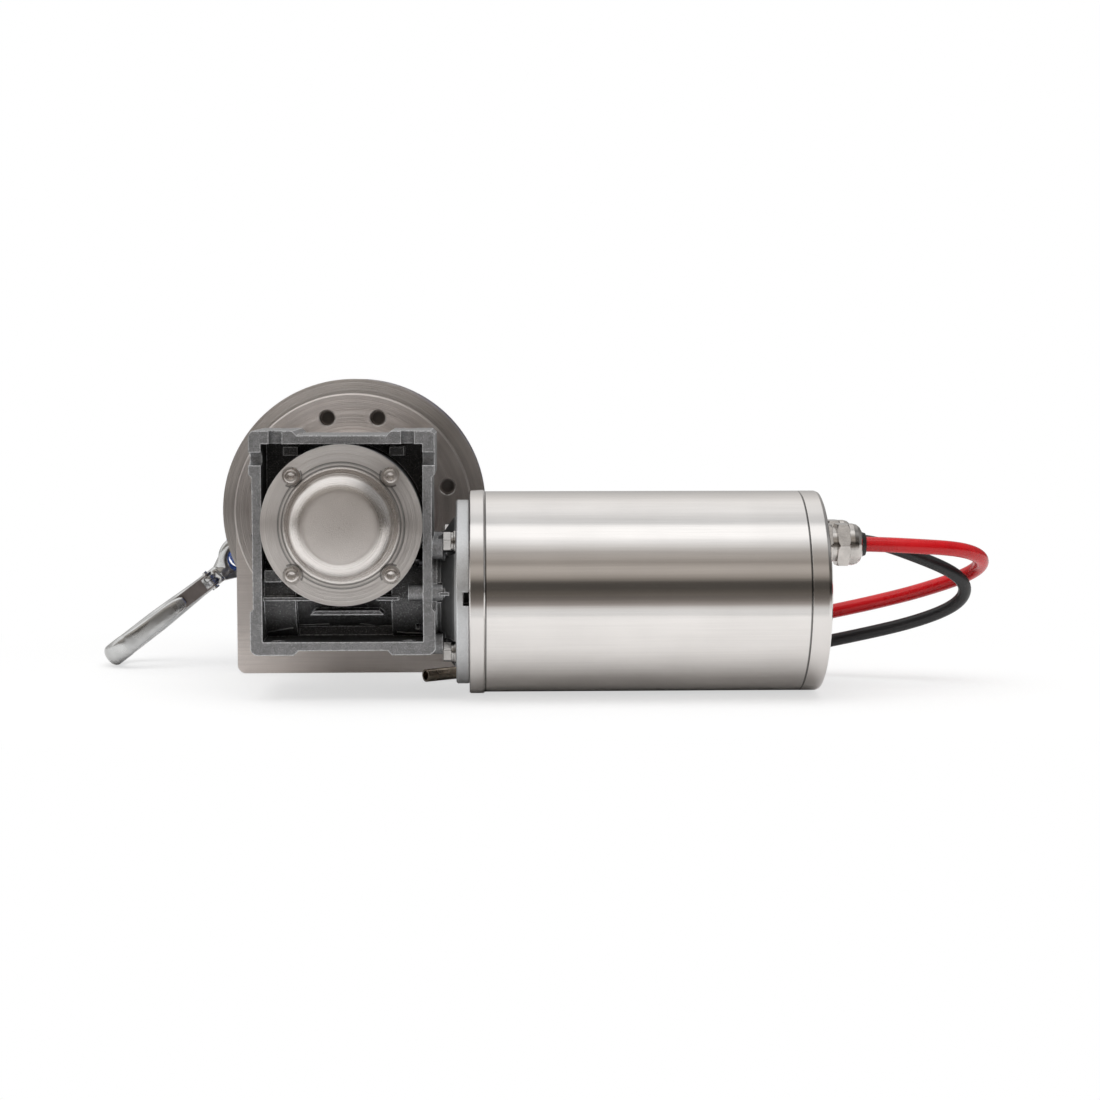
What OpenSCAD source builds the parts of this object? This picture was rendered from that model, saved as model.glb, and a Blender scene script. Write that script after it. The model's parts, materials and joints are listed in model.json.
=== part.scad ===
// Electric rope-drum hauler: worm gearbox, 24 V class motor, rope drum and snap hook.
// X runs along the motor, Y along the drum (the gearbox is at -Y), Z is up.
// The origin is the middle of the base plate's bolt pattern, on the underside.

/* [Drum] */
// Distance between the drum flanges
drum_width = 60; // [45:1:90]
// Outside diameter of the barrel
barrel_d = 60; // [52:1:66]
// Wall of the barrel tube
barrel_wall = 4; // [3:0.5:6]
// Outside diameter of the drum flanges
drum_flange_d = 157; // [150:1:164]
// Thickness of a drum flange
drum_flange_t = 3; // [2:0.5:5]
// Running gap between a drum flange and its side plate
drum_gap = 1.5; // [1:0.5:4]
// Thickness of the hub discs inside the barrel
drum_hub_t = 10; // [6:1:14]

/* [Rope] */
// Diameter of the rope
rope_d = 6; // [5:0.5:7]
// Outside diameter of the wound rope
coil_d = 108; // [90:2:110]

/* [Frame] */
// Width of the frame, also the diameter of the side plates' round tops
frame_w = 140; // [136:1:150]
// Thickness of a side plate
side_plate_t = 6; // [4:0.5:8]
// Radius of the side plates' bottom corners
plate_corner_r = 5; // [2:0.5:8]
// Thickness of the base plate
base_t = 6; // [4:0.5:8]
// Diameter of the base bolt holes
base_hole_d = 9; // [6.5:0.5:11]
// Distance between the base bolt holes across the frame
base_pitch_x = 110; // [90:1:116]
// Distance between the base bolt holes along the drum
base_pitch_y = 40; // [25:1:44]

/* [Output flange] */
// Thickness of the flange disc
flange_t = 9; // [6:0.5:12]
// Length of the cone between the gearbox and the disc
cone_len = 32; // [26:1:45]
// Bolt circle of the disc
flange_pcd = 115; // [112:1:120]
// Number of holes in the disc
flange_holes = 12; // [12:12:24]
// Diameter of the holes in the disc
flange_hole_d = 8.5; // [8.3:0.1:9.5]

/* [Gearbox] */
// Distance between the worm axis and the output axis
centre_distance = 40; // [38:0.5:42]
// Tooth module of the worm gear
tooth_module = 2; // [1.9:0.05:2.05]
// Width of the housing over its side pads
box_w = 100; // [98:1:106]
// Height of the top pads above the output axis
box_top = 50.5; // [50:0.5:54]
// Depth of the bottom pads below the output axis
box_bottom = 71; // [69.5:0.5:75]
// Depth of the housing frame
box_depth = 71; // [66:1:76]
// Distance between the two hub faces
hub_width = 78; // [74:1:84]
// Wall of the housing frame
box_wall = 5; // [4:0.5:6]
// Height of the foot pads over the frame wall
pad_step = 2; // [1:0.5:3]
// Diameter of the covers and of the hub faces
cover_d = 87; // [86:0.5:92]
// Distance from the covers' bolt circle to their rim
cover_edge = 6; // [5.5:0.5:7]
// Bore of the hollow output shaft
output_bore = 18; // [16:0.5:20]
// Bore of the worm for the motor shaft
input_bore = 14; // [12:0.5:15]

/* [Shaft end cover] */
// Thickness of the cover's ring
cover_t = 3.5; // [3:0.5:5]
// Height of the dome over the ring
dome_h = 16; // [14:1:22]
// Diameter of the dome at its foot
dome_d = 56; // [52:1:58]

/* [Motor] */
// Outside diameter of the motor tube
motor_d = 112; // [108:1:116]
// Outside diameter of the front bracket
bracket_d = 113.5; // [110:0.5:118]
// Width of the front bracket
bracket_t = 8.5; // [8:0.5:12]
// Length of the motor tube
tube_len = 175.5; // [150:0.5:220]
// Wall of the motor tube
tube_wall = 4; // [3:0.5:6]
// Width of the end cap
cap_t = 11.2; // [11:0.1:16]
// Diameter of the adaptor flange
adaptor_d = 102.6; // [102:0.2:106]
// Bolt circle of the adaptor flange
adaptor_pcd = 85; // [83:1:87]
// Width of the adaptor flange's rim
adaptor_rim_t = 7.3; // [6:0.5:9]

/* [Leads] */
// Diameter of the red lead
red_d = 8.4; // [7:0.2:8.6]
// Diameter of the black lead
black_d = 7.4; // [6.6:0.2:7.6]
// Width across the flats of the gland
gland_af = 22.8; // [22:0.2:25]
// Height of the glands above the motor axis
gland_rise = 27; // [24:1:29]
// Distance between the two glands
gland_pitch = 30; // [28:1:36]

/* [Snap hook] */
// Length from the middle of the eye to the tip of the bow
hook_len = 104; // [96:1:106]
// Inside radius of the bow
bow_r = 11; // [9:0.5:13]
// Outside diameter of the hook's eye
eye_d = 29; // [28:0.5:31]
// Diameter of the eye's ring section
eye_bar = 5; // [4:0.25:5.5]
// Width of the latch
latch_w = 8.8; // [8:0.2:10]
// Inside radius of the thimble
thimble_r = 9; // [8:0.25:10]
// Depth of the thimble's groove
thimble_deep = 3.4; // [3:0.2:4]
// Length of the thimble's straight legs
thimble_leg = 15; // [12:1:17]

/* [Hidden] */

// Clearances
face_gap = 0.3;
run_gap = 0.05;
hole_gap = 0.25;
slip = 0.05;
eps = 0.01;
$fn = 96;

// Heights of the axes: the motor's front bracket and the base stand on one plane
motor_z = bracket_d / 2;
axis_z = motor_z + centre_distance;

// Stack along the drum axis, from the middle of the drum towards the gearbox
drum_half = drum_width / 2 + drum_flange_t;
plate_in_y = drum_half + drum_gap;
plate_out_y = plate_in_y + side_plate_t;
gear_y = -(plate_out_y + flange_t + cone_len + hub_width / 2);
hub_half = hub_width / 2;
flange_face = hub_half + cone_len;
plate_face = flange_face + flange_t;

// Side plate and base plate
arch_r = frame_w / 2;
shaft_hole_d = 46;
weld_leg = 4;

// Screws: shank radius, head radius and head height of the sizes used
m5_r = 2.5;
m5_head_r = 4.25;
m5_head_h = 3.5;
m6_r = 3;
m6_head_r = 5;
m6_head_h = 6;
m8_r = 4;
m8_head_r = 6.5;
m8_head_h = 8;

// Housing
wall_x = box_w / 2 - 1.6;
wall_top = box_top - pad_step - 0.5;
wall_bottom = box_bottom - pad_step - 0.5;
in_x = wall_x - box_wall;
in_top = wall_top - box_wall + 0.5;
in_bottom = wall_bottom - box_wall + 0.3;
pad_len = 25.5;
foot_pitch = 71;
foot_slot_d = 7;
foot_hole_y = box_depth / 2 - 5.5;
foot_cut = 2 * box_wall + 4;
hub_r = cover_d / 2;
cover_pcd = cover_d - 2 * cover_edge;
cavity_r = cover_pcd / 2 - 4.5;
corner_r = 4;
web_t = 8;

// Output shaft, bearings and seals
out_shaft_d = 30;
out_bearing_d = 55;
out_bearing_w = 13;
out_seal_d = 47;
out_seal_w = 7;
cover_flange_t = 4;
journal_half = hub_half - out_seal_w - out_bearing_w;
shoulder_d = 38;
wheel_bore_d = 44;
key_out = 6;
key_drum = 8;

// Worm gear
wheel_teeth = 30;
wheel_pitch_r = tooth_module * wheel_teeth / 2;
worm_pitch_r = centre_distance - wheel_pitch_r;
wheel_w = 14;
backlash = 0.35;
tip_gap = 0.3;
lead = PI * tooth_module;
worm_len = 34;
worm_steps = 18;
worm_points = 18;
barrel_r = 19;
end_boss_r = 25;
in_boss_r = 31;
in_pcd = 52;
in_shaft_d = 25;
in_bearing_d = 42;
in_bearing_w = 9;
in_seal_w = 6;
tail_bearing_d = 40;
tail_bearing_w = 12;
tail_shaft_d = 17;
in_face_x = box_w / 2 + 1;
corner_boss_y = 27;
corner_boss_z = 26;
side_boss_y = 30;
side_boss_z = 2.5;
tail_cap_t = 5;
in_bearing_x = in_face_x - in_seal_w - in_bearing_w - 1;
tail_bearing_x = -(wall_x - tail_cap_t - tail_bearing_w);

// Adaptor and motor along X
adaptor_x = in_face_x;
rim_x = adaptor_x + 10.2;
bracket_x = rim_x + adaptor_rim_t;
tube_x = bracket_x + bracket_t;
cap_x = tube_x + tube_len;
motor_end = cap_x + cap_t;
register_r = 35;
motor_shaft_d = 17;
bearing_id = 17;
bearing_od = 40;
bearing_w = 12;
bracket_boss = 15;
front_bearing_x = bracket_x + 3;
rear_bearing_x = motor_end - 3 - bearing_w;
tube_in_r = motor_d / 2 - tube_wall;
magnet_t = 9;
air_gap = 1;
armature_r = tube_in_r - magnet_t - air_gap;
commutator_r = 22;
commutator_len = 22;
commutator_gap = 8;
commutator_x = cap_x - commutator_len - 25.5;
armature_x = tube_x + 34;
armature_len = commutator_x - commutator_gap - armature_x;
core_bore_r = 10;
brush_len = 14;

// Glands
gland_z = motor_z + gland_rise;
gland_hex_r = gland_af / 2 / cos(30);
gland_seat_r = 9;
gland_groove = 7.5;
gland_nut_t = 6.8;
gland_dome = 7.6;
gland_end = gland_groove + gland_nut_t + gland_dome - 0.1;
seal_proud = 2.2;

// Drum shaft
shaft_d = 25;
key_len_out = 60;
key_in_len = in_face_x - in_bearing_x + 8;
far_bearing_od = 52;
far_bearing_w = 15;
far_hub_r = 34;
far_flange_r = 46;
far_flange_t = 7;
far_pcd = 82;
far_depth = far_bearing_w + 7;
shaft_end_y = plate_out_y + far_bearing_w + 3;

// Rope
rope_r = rope_d / 2;
coil_r = coil_d / 2;
coil_turns = floor((drum_width - 2 * face_gap) / rope_d);

// Snap hook: the shank points down to the left and the bow opens towards the gearbox
hook_x = -71.3;
hook_z = axis_z - 29.85;
eye_twist = 62;
hook_neck = 17;
bow_bar = 10;
bow_mid_r = bow_r + bow_bar / 2;
bow_cx = hook_len - bow_r - bow_bar;
tip_drop = 6.3;
hook_dip = asin((hook_z - tip_drop - face_gap) / (bow_cx + bow_mid_r));
latch_x = 23.5;
latch_y = -6.5;
latch_in = 6;
spring_w = 2.2;
latch_pin_r = 1.5;
latch_pin_len = 12.4;
nose_x = 44;

// Rope eye and thimble
eye_r = thimble_r + 0.9 + rope_r + 0.1;
eye_from = 160;
thimble_x = -68.1;
thimble_z = hook_z + 6.9;
thimble_turn = 36;
neck_z = 25;

// Routes of the leads: hand-chosen points, seen from the gearbox side, z from the floor
red_route = [
  [267, -135.5, 83.75], [277, -135.5, 83.75], [287, -135.5, 83.75], [297, -135.4, 83.6],
  [307, -134.9, 83.1], [317, -133.9, 82.4], [327, -131.8, 81.7], [337, -128.5, 80.9],
  [347, -123.4, 79.2], [356, -115.9, 76.1], [361.6, -107.5, 72], [362, -98, 67.3],
  [357.5, -90.5, 62.9], [350, -84.6, 58.8], [340, -78.6, 54.6], [328, -72.8, 50],
  [315, -68.6, 46.2], [301, -64.4, 42.3], [287, -60.4, 38.8], [273, -57.2, 35.4],
  [259, -54.4, 30.6], [245, -52, 24.4], [231, -49.8, 17.6], [217, -47.8, 11.4],
  [203, -46.2, 6.8], [189, -45.2, 4.5], [175, -44.8, 4.1], [160, -44.8, 4.1], [145, -45, 4.1]
];
black_route = [
  [267, -105.5, 83.75], [277, -105.5, 83.75], [287, -105.5, 83.75], [296, -105.7, 83.2],
  [304, -106.2, 81.4], [311, -106.9, 79], [319, -107.7, 75.8], [329, -108.4, 72.2],
  [338, -108.6, 68.5], [346, -107.6, 64.5], [352.4, -104.6, 59.8], [355.4, -100.1, 54],
  [353.6, -95.4, 48.8], [348.2, -91, 43.8], [340, -86.6, 39.2], [329, -81.7, 34.6],
  [317, -77.4, 30.6], [303.5, -72.5, 26.9], [291, -68, 23.4], [278, -63, 20.2],
  [264, -59.2, 15.8], [250, -57, 11.2], [236, -55.6, 7.4], [222, -54.8, 4.8],
  [208, -54.4, 3.9], [194, -54.2, 3.8], [179, -54, 3.8], [164, -54, 3.8],
  [149, -54, 3.8], [134, -54, 3.8], [120, -54, 3.8], [107, -54.2, 3.8],
  [95, -54.8, 3.8], [84, -56.4, 3.8], [74, -60, 3.8], [67, -64, 3.8], [61, -68.2, 3.8]
];
// Route of the rope's free tail, x and z from the drum axis
tail_route = [
  [-47.2, 32.5], [-51.4, 27.1], [-55.7, 21.5], [-60.1, 15.9], [-64, 10.7], [-66.8, 6.2],
  [thimble_x - 0.1, thimble_z + neck_z - 2.5 - axis_z]
];

// A solid swept along points, with n sides; each point has a radius in its plane and one across it
function unit(v) = v / norm(v);
function heading(p, i) = unit(p[min(i + 1, len(p) - 1)] - p[max(i - 1, 0)]);
function side_of(h, ref) = unit(cross(h, ref));
function ring(c, h, ref, r, n) =
  let (s = side_of(h, ref), t = cross(s, h))
  [for (k = [0:n - 1]) c + r[0] * cos(360 * k / n) * s + r[1] * sin(360 * k / n) * t];
function ring_faces(n, m) = concat(
  [[for (k = [n - 1:-1:0]) k]],
  [for (i = [0:m - 2], k = [0:n - 1])
    [i * n + k, (i + 1) * n + (k + 1) % n, (i + 1) * n + k]],
  [for (i = [0:m - 2], k = [0:n - 1])
    [i * n + k, i * n + (k + 1) % n, (i + 1) * n + (k + 1) % n]],
  [[for (k = [0:n - 1]) (m - 1) * n + k]]
);
module swept(points, radii, n = 10, ref = [0, 0, 1]) {
  rings = [for (i = [0:len(points) - 1]) each ring(points[i], heading(points, i), ref, radii[i], n)];
  polyhedron(rings, ring_faces(n, len(points)), convexity = 6);
}
module cord(points, d, n = 10, ref = [0, 0, 1]) {
  swept(points, [for (p = points) [d / 2, d / 2]], n, ref);
}

// Frames of reference
module at_gearbox() {
  translate([0, gear_y, axis_z]) children();
}
module at_motor() {
  translate([0, gear_y, motor_z]) children();
}
module at_drum() {
  translate([0, 0, axis_z]) children();
}
// The child's Z runs along +Y or +X
module along_y(y = 0) {
  translate([0, y, 0]) rotate([-90, 0, 0]) children();
}
module along_x(x = 0) {
  translate([x, 0, 0]) rotate([0, 90, 0]) children();
}
// A 2D shape drawn in X and Z, from y to y + t
module slab(y, t) {
  translate([0, y + t, 0]) rotate([90, 0, 0]) linear_extrude(t) children();
}
// Copies on a bolt circle round Y
module on_circle_y(pcd, count, first = 0) {
  for (i = [0:count - 1]) {
    a = first + 360 * i / count;
    translate([pcd / 2 * cos(a), 0, pcd / 2 * sin(a)]) children();
  }
}
// Copies on a bolt circle round X
module on_circle_x(pcd, count, first = 45) {
  for (i = [0:count - 1]) {
    a = first + 360 * i / count;
    translate([0, pcd / 2 * cos(a), pcd / 2 * sin(a)]) children();
  }
}
module tube_z(r_out, r_in, h) {
  difference() {
    cylinder(r = r_out, h = h);
    translate([0, 0, -1]) cylinder(r = r_in, h = h + 2);
  }
}
// A cap screw whose head starts at z = 0 and points to +Z, the shank to -Z
module cap_screw(r, head_r, head_h, length) {
  difference() {
    union() {
      translate([0, 0, -length]) cylinder(r = r, h = length + eps, $fn = 48);
      cylinder(r = head_r, h = head_h, $fn = 48);
    }
    translate([0, 0, head_h / 2]) cylinder(r = r * 0.9, h = head_h, $fn = 6);
  }
}
module outer_ring(r_out, r_in, w) {
  difference() {
    cylinder(r = r_out, h = w);
    translate([0, 0, -1]) cylinder(r = r_in + (r_out - r_in) * 0.3 + run_gap, h = w + 2);
  }
}
module inner_ring(r_out, r_in, w) {
  tube_z(r_in + (r_out - r_in) * 0.3, r_in, w);
}

// Frame
module plate_outline() {
  translate([0, axis_z]) circle(r = arch_r, $fn = 160);
  translate([-arch_r, plate_corner_r]) square([frame_w, axis_z - plate_corner_r]);
  translate([-arch_r + plate_corner_r, 0]) square([frame_w - 2 * plate_corner_r, axis_z]);
  for (s = [-1, 1]) {
    translate([s * (arch_r - plate_corner_r), plate_corner_r]) circle(r = plate_corner_r);
  }
}
module base_plate() {
  color([0.70, 0.68, 0.66])
  difference() {
    translate([-arch_r + plate_corner_r, -plate_in_y, 0])
      cube([frame_w - 2 * plate_corner_r, 2 * plate_in_y, base_t]);
    for (x = [-1, 1], y = [-1, 1]) {
      translate([x * base_pitch_x / 2, y * base_pitch_y / 2, -1])
        cylinder(d = base_hole_d, h = base_t + 2, $fn = 48);
    }
  }
}
module side_plate_near() {
  color([0.66, 0.63, 0.61])
  difference() {
    slab(-plate_out_y, side_plate_t) plate_outline();
    at_drum() along_y(-plate_out_y - 1) cylinder(d = shaft_hole_d, h = side_plate_t + 2);
    at_drum() on_circle_y(flange_pcd, 4, 45)
      along_y(-plate_out_y - 1) cylinder(r = m8_r + slip, h = side_plate_t + 2, $fn = 48);
  }
}
module side_plate_far() {
  color([0.66, 0.63, 0.61])
  difference() {
    slab(plate_in_y, side_plate_t) plate_outline();
    at_drum() along_y(plate_in_y - 1) cylinder(d = shaft_hole_d, h = side_plate_t + 2);
    at_drum() on_circle_y(far_pcd, 4, 45)
      along_y(plate_in_y - 1) cylinder(r = m6_r + slip, h = side_plate_t + 2, $fn = 48);
  }
}
module corner_welds() {
  color([0.60, 0.57, 0.54])
  for (s = [-1, 1]) {
    translate([-arch_r + 2 * plate_corner_r, s * plate_in_y, base_t])
      rotate([90, 0, 90])
        linear_extrude(frame_w - 4 * plate_corner_r)
          polygon([[0, 0], [-s * weld_leg, 0], [0, weld_leg]]);
  }
}

// Gearbox housing
module foot_pads() {
  for (sx = [-1, 1]) {
    // top and bottom pads with chamfered inner ends
    translate([sx * (box_w / 2 - pad_len / 2), box_top - 4])
      pad_shape(pad_len, 4);
    translate([sx * (box_w / 2 - pad_len / 2), -box_bottom + 4])
      mirror([0, 1]) pad_shape(pad_len, 4);
    // side pads
    translate([sx * (box_w / 2 - 4), box_top - pad_len / 2])
      rotate(-90 * sx) pad_shape(pad_len, 4);
    translate([sx * (box_w / 2 - 4), -box_bottom + pad_len / 2])
      rotate(-90 * sx) pad_shape(pad_len, 4);
  }
}
module pad_shape(length, h) {
  polygon([[-length / 2, 0], [length / 2, 0], [length / 2, h - 2], [length / 2 - 2, h],
    [-length / 2 + 2, h], [-length / 2, h - 2]]);
}
module frame_outline() {
  difference() {
    union() {
      translate([-wall_x, -wall_bottom]) square([2 * wall_x, wall_top + wall_bottom]);
      foot_pads();
    }
    // round bottom corners
    for (s = [-1, 1]) {
      difference() {
        translate([s * box_w / 2 - corner_r, -box_bottom - corner_r]) square(2 * corner_r);
        translate([s * (box_w / 2 - corner_r), -box_bottom + corner_r]) circle(r = corner_r);
        translate([s * (box_w / 2 - corner_r) - corner_r, -box_bottom + corner_r]) square(2 * corner_r);
        translate([s * (box_w / 2 - 2 * corner_r) - corner_r, -box_bottom - corner_r]) square(2 * corner_r);
      }
    }
  }
}
module frame_window() {
  translate([-in_x, -in_bottom]) square([2 * in_x, in_top + in_bottom]);
}
module foot_slots() {
  for (sx = [-1, 1], sy = [-1, 1]) {
    // holes through the top and bottom pads; the top ones are open to the nearest face
    for (z = [box_top + 1, -in_bottom + 1]) {
      translate([sx * foot_pitch / 2, sy * foot_hole_y, z - foot_cut])
        cylinder(d = foot_slot_d, h = foot_cut, $fn = 48);
    }
    translate([sx * foot_pitch / 2 - foot_slot_d / 2, sy > 0 ? foot_hole_y : -box_depth / 2 - 1,
        box_top + 1 - foot_cut])
      cube([foot_slot_d, box_depth / 2 + 1 - foot_hole_y, foot_cut]);
    // slots through the upper side pads
    translate([sx * (box_w / 2 + 1), sy * foot_hole_y, foot_pitch / 2]) rotate([0, -90 * sx, 0])
      cylinder(d = foot_slot_d, h = box_wall + 4, $fn = 48);
    translate([sx > 0 ? in_x - 2 : -box_w / 2 - 1, sy > 0 ? foot_hole_y : -box_depth / 2 - 1,
        foot_pitch / 2 - foot_slot_d / 2])
      cube([box_w / 2 + 3 - in_x, box_depth / 2 + 1 - foot_hole_y, foot_slot_d]);
  }
}
module worm_barrel() {
  translate([0, 0, -centre_distance]) {
    along_x(-wall_x) cylinder(r = barrel_r, h = 2 * wall_x);
    along_x(-wall_x) cylinder(r = end_boss_r, h = wall_x - 26);
    along_x(26) cylinder(r = end_boss_r, h = in_face_x - 26);
    along_x(in_x) cylinder(r = in_boss_r, h = in_face_x - in_x);
  }
}
module window_ribs() {
  rib_y = -box_depth / 2 + 5;
  rib_z = -centre_distance - 1.8;
  rib_deep = 20;
  // fins on the barrel's parting line, left and right of the cover
  translate([-in_x - 1, rib_y, rib_z]) cube([in_x - 16, rib_deep, 2]);
  translate([18, rib_y, rib_z]) cube([12, rib_deep, 2]);
  // raised rib across the middle of the barrel
  translate([0, rib_y + rib_deep, rib_z - 7.8]) rotate([90, 0, 0])
    linear_extrude(rib_deep) polygon([[-18, 0], [22, 0], [19.5, 2.4], [-15.5, 2.4]]);
  // bosses beside the cover
  translate([-in_x + 1, rib_y, -31.5]) cube([9, 24, 6.4]);
  // ejector pads on the web
  for (s = [-1, 1]) {
    translate([s * 29 - 4, -17, in_top - 6.9]) cube([8, 17, 4.8]);
  }
}
module input_bosses() {
  translate([0, 0, -centre_distance]) {
    for (y = [-1, 1], z = [-1, 1]) {
      translate([0, y * corner_boss_y, z * corner_boss_z]) along_x(in_x)
        cylinder(r = 5.6, h = in_face_x + 3 - in_x, $fn = 48);
    }
    for (y = [-1, 1]) {
      translate([0, y * side_boss_y, side_boss_z]) along_x(in_x - 8)
        cylinder(r = 4.6, h = in_face_x + 3 + 8 - in_x, $fn = 48);
    }
  }
}
module gearbox_housing() {
  color([0.56, 0.57, 0.58])
  at_gearbox()
  difference() {
    union() {
      difference() {
        slab(-box_depth / 2, box_depth) frame_outline();
        slab(-box_depth / 2 - 1, box_depth + 2) frame_window();
        foot_slots();
      }
      slab(-web_t / 2, web_t) frame_window();
      along_y(-hub_half + cover_flange_t) cylinder(r = hub_r, h = hub_width - cover_flange_t);
      intersection() {
        worm_barrel();
        slab(-box_depth / 2, box_depth) translate([-wall_x, -wall_bottom])
          square([wall_x + in_face_x, wall_bottom + wall_top]);
      }
      window_ribs();
      input_bosses();
    }
    // gear chamber, bearing cover register, rear bearing and seal seats
    along_y(-hub_half) cylinder(r = cavity_r, h = hub_half + journal_half - 4);
    along_y(0) cylinder(d = out_bearing_d, h = journal_half + out_bearing_w);
    along_y(0) cylinder(d = out_seal_d, h = hub_half + 1);
    // worm bore with its two bearing seats
    translate([0, 0, -centre_distance]) {
      along_x(-wall_x + tail_cap_t - 1) cylinder(r = worm_pitch_r + 4.5, h = in_face_x + wall_x - 8);
      along_x(-wall_x - 1) cylinder(d = tail_bearing_d, h = tail_bearing_w + tail_cap_t + 1);
      along_x(in_bearing_x) cylinder(d = in_bearing_d, h = in_face_x - in_bearing_x + 1);
    }
    // tapped holes of the covers, front and rear
    for (face = [-hub_half + cover_flange_t - 1, hub_half - 12]) {
      on_circle_y(cover_pcd, 4, 45) along_y(face) cylinder(r = m6_r + slip, h = 13, $fn = 48);
    }
    // tapped holes for the adaptor screws
    translate([0, 0, -centre_distance]) on_circle_x(in_pcd, 4)
      along_x(in_face_x - 12) cylinder(r = m5_r + slip, h = 13, $fn = 48);
  }
}
module bearing_cover() {
  color([0.58, 0.59, 0.60])
  at_gearbox()
  difference() {
    union() {
      along_y(-hub_half) cylinder(r = hub_r, h = cover_flange_t);
      along_y(-hub_half) cylinder(r = cavity_r - slip, h = hub_half - journal_half);
    }
    along_y(-hub_half + out_seal_w) cylinder(d = out_bearing_d, h = hub_half);
    along_y(-hub_half - 1) cylinder(d = out_seal_d, h = hub_half);
    on_circle_y(cover_pcd, 4, 45) along_y(-hub_half - 1)
      cylinder(r = m6_r + hole_gap, h = cover_flange_t + 2, $fn = 48);
  }
}
module at_output_bearings() {
  at_gearbox() {
    along_y(-hub_half + out_seal_w) children();
    along_y(hub_half - out_seal_w - out_bearing_w) children();
  }
}
module output_bearing_outers() {
  color([0.72, 0.73, 0.74])
  at_output_bearings() outer_ring(out_bearing_d / 2, out_shaft_d / 2, out_bearing_w);
}
module output_bearing_inners() {
  color([0.78, 0.79, 0.80])
  at_output_bearings() inner_ring(out_bearing_d / 2, out_shaft_d / 2, out_bearing_w);
}
module output_seals() {
  color([0.12, 0.10, 0.10])
  at_gearbox() {
    along_y(-hub_half) tube_z(out_seal_d / 2, out_shaft_d / 2 + run_gap, out_seal_w);
    along_y(hub_half - out_seal_w) tube_z(out_seal_d / 2, out_shaft_d / 2 + run_gap, out_seal_w);
  }
}
// A keyway cut along Y above the bore
module keyway_y(y, length, key, bore_r) {
  translate([-key / 2 - slip, y, 0]) cube([key + 2 * slip, length, bore_r + key / 2 + 0.2]);
}
module output_shaft() {
  color([0.62, 0.62, 0.63])
  at_gearbox()
  difference() {
    union() {
      along_y(-hub_half) cylinder(d = out_shaft_d, h = hub_width);
      along_y(-journal_half) cylinder(d = shoulder_d, h = 2 * journal_half);
      along_y(-wheel_w / 2) cylinder(d = wheel_bore_d, h = wheel_w);
    }
    along_y(-hub_half - 1) cylinder(d = output_bore, h = hub_width + 2);
    keyway_y(-hub_half - 1, hub_width + 2, key_out, output_bore / 2);
  }
}
// One tooth space of the wheel, cut from the rim at the bottom
function wheel_profile() = [
  for (i = [0:wheel_teeth - 1])
  let (
    pitch = 360 / wheel_teeth,
    half = (lead / 2 - backlash) / 2,
    add = tooth_module * tan(20),
    root_r = wheel_pitch_r - tooth_module - tip_gap,
    tip_r = wheel_pitch_r + tooth_module,
    base = -90 + pitch / 2 + i * pitch
  )
  each [
    for (q = [[root_r, -(half + add)], [tip_r, -(half - add)], [tip_r, half - add], [root_r, half + add]])
      let (a = base + q[1] / q[0] * 180 / PI)
      q[0] * [cos(a), sin(a)]
  ]
];
module worm_wheel() {
  color([0.72, 0.52, 0.28])
  at_gearbox()
  difference() {
    // teeth leaned by the worm's lead angle
    turn = wheel_w * tooth_module / 2 / worm_pitch_r / wheel_pitch_r * 180 / PI;
    translate([0, wheel_w / 2, 0]) rotate([90, 0, 0]) rotate(-turn / 2)
      linear_extrude(wheel_w, twist = -turn, slices = 3) polygon(wheel_profile());
    along_y(-wheel_w) cylinder(d = wheel_bore_d, h = 2 * wheel_w);
  }
}
// Section across the worm: one start of the thread seen end on
function thread_r(a) =
  let (
    x = lead * abs(a) / 360,
    half = (lead / 2 - backlash) / 2,
    add = tooth_module * tan(20),
    tip = worm_pitch_r + tooth_module - 0.1,
    root = worm_pitch_r - tooth_module - tip_gap
  )
  x < half - add ? tip : x > half + add ? root : tip + (root - tip) * (x - half + add) / (2 * add);
module worm_thread() {
  turns = floor(worm_len / lead);
  h = turns * lead;
  along_x(-h / 2) rotate(180 - 180 * turns)
    linear_extrude(h, twist = -360 * turns, slices = turns * worm_steps, $fn = worm_points)
      polygon([for (a = [-180:180 / worm_points * 2:179]) thread_r(a) * [cos(a), sin(a)]]);
}
module worm_shaft() {
  color([0.50, 0.50, 0.52])
  at_motor()
  difference() {
    union() {
      worm_thread();
      along_x(tail_bearing_x - tail_bearing_w) cylinder(d = tail_shaft_d, h = tail_bearing_w + 1);
      along_x(tail_bearing_x) cylinder(r = worm_pitch_r - tooth_module - 1, h = in_bearing_x - tail_bearing_x);
      along_x(in_bearing_x - 8) cylinder(d = in_shaft_d, h = in_face_x - in_bearing_x + 7);
    }
    along_x(in_bearing_x - 6) cylinder(d = input_bore, h = in_face_x);
    translate([in_bearing_x - 6, -key_out / 2 + 0.5 - slip, 0])
      cube([in_face_x, key_out - 1 + 2 * slip, input_bore / 2 + 2.4]);
  }
}
module worm_bearing_outers() {
  color([0.72, 0.73, 0.74])
  at_motor() {
    along_x(in_bearing_x) outer_ring(in_bearing_d / 2, in_shaft_d / 2, in_bearing_w);
    along_x(tail_bearing_x - tail_bearing_w) outer_ring(tail_bearing_d / 2, tail_shaft_d / 2, tail_bearing_w);
  }
}
module worm_bearing_inners() {
  color([0.78, 0.79, 0.80])
  at_motor() {
    along_x(in_bearing_x) inner_ring(in_bearing_d / 2, in_shaft_d / 2, in_bearing_w);
    along_x(tail_bearing_x - tail_bearing_w) inner_ring(tail_bearing_d / 2, tail_shaft_d / 2, tail_bearing_w);
  }
}
module input_seal() {
  color([0.12, 0.10, 0.10])
  at_motor() along_x(in_bearing_x + in_bearing_w)
    tube_z(in_bearing_d / 2, in_shaft_d / 2 + run_gap, in_seal_w);
}
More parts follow.
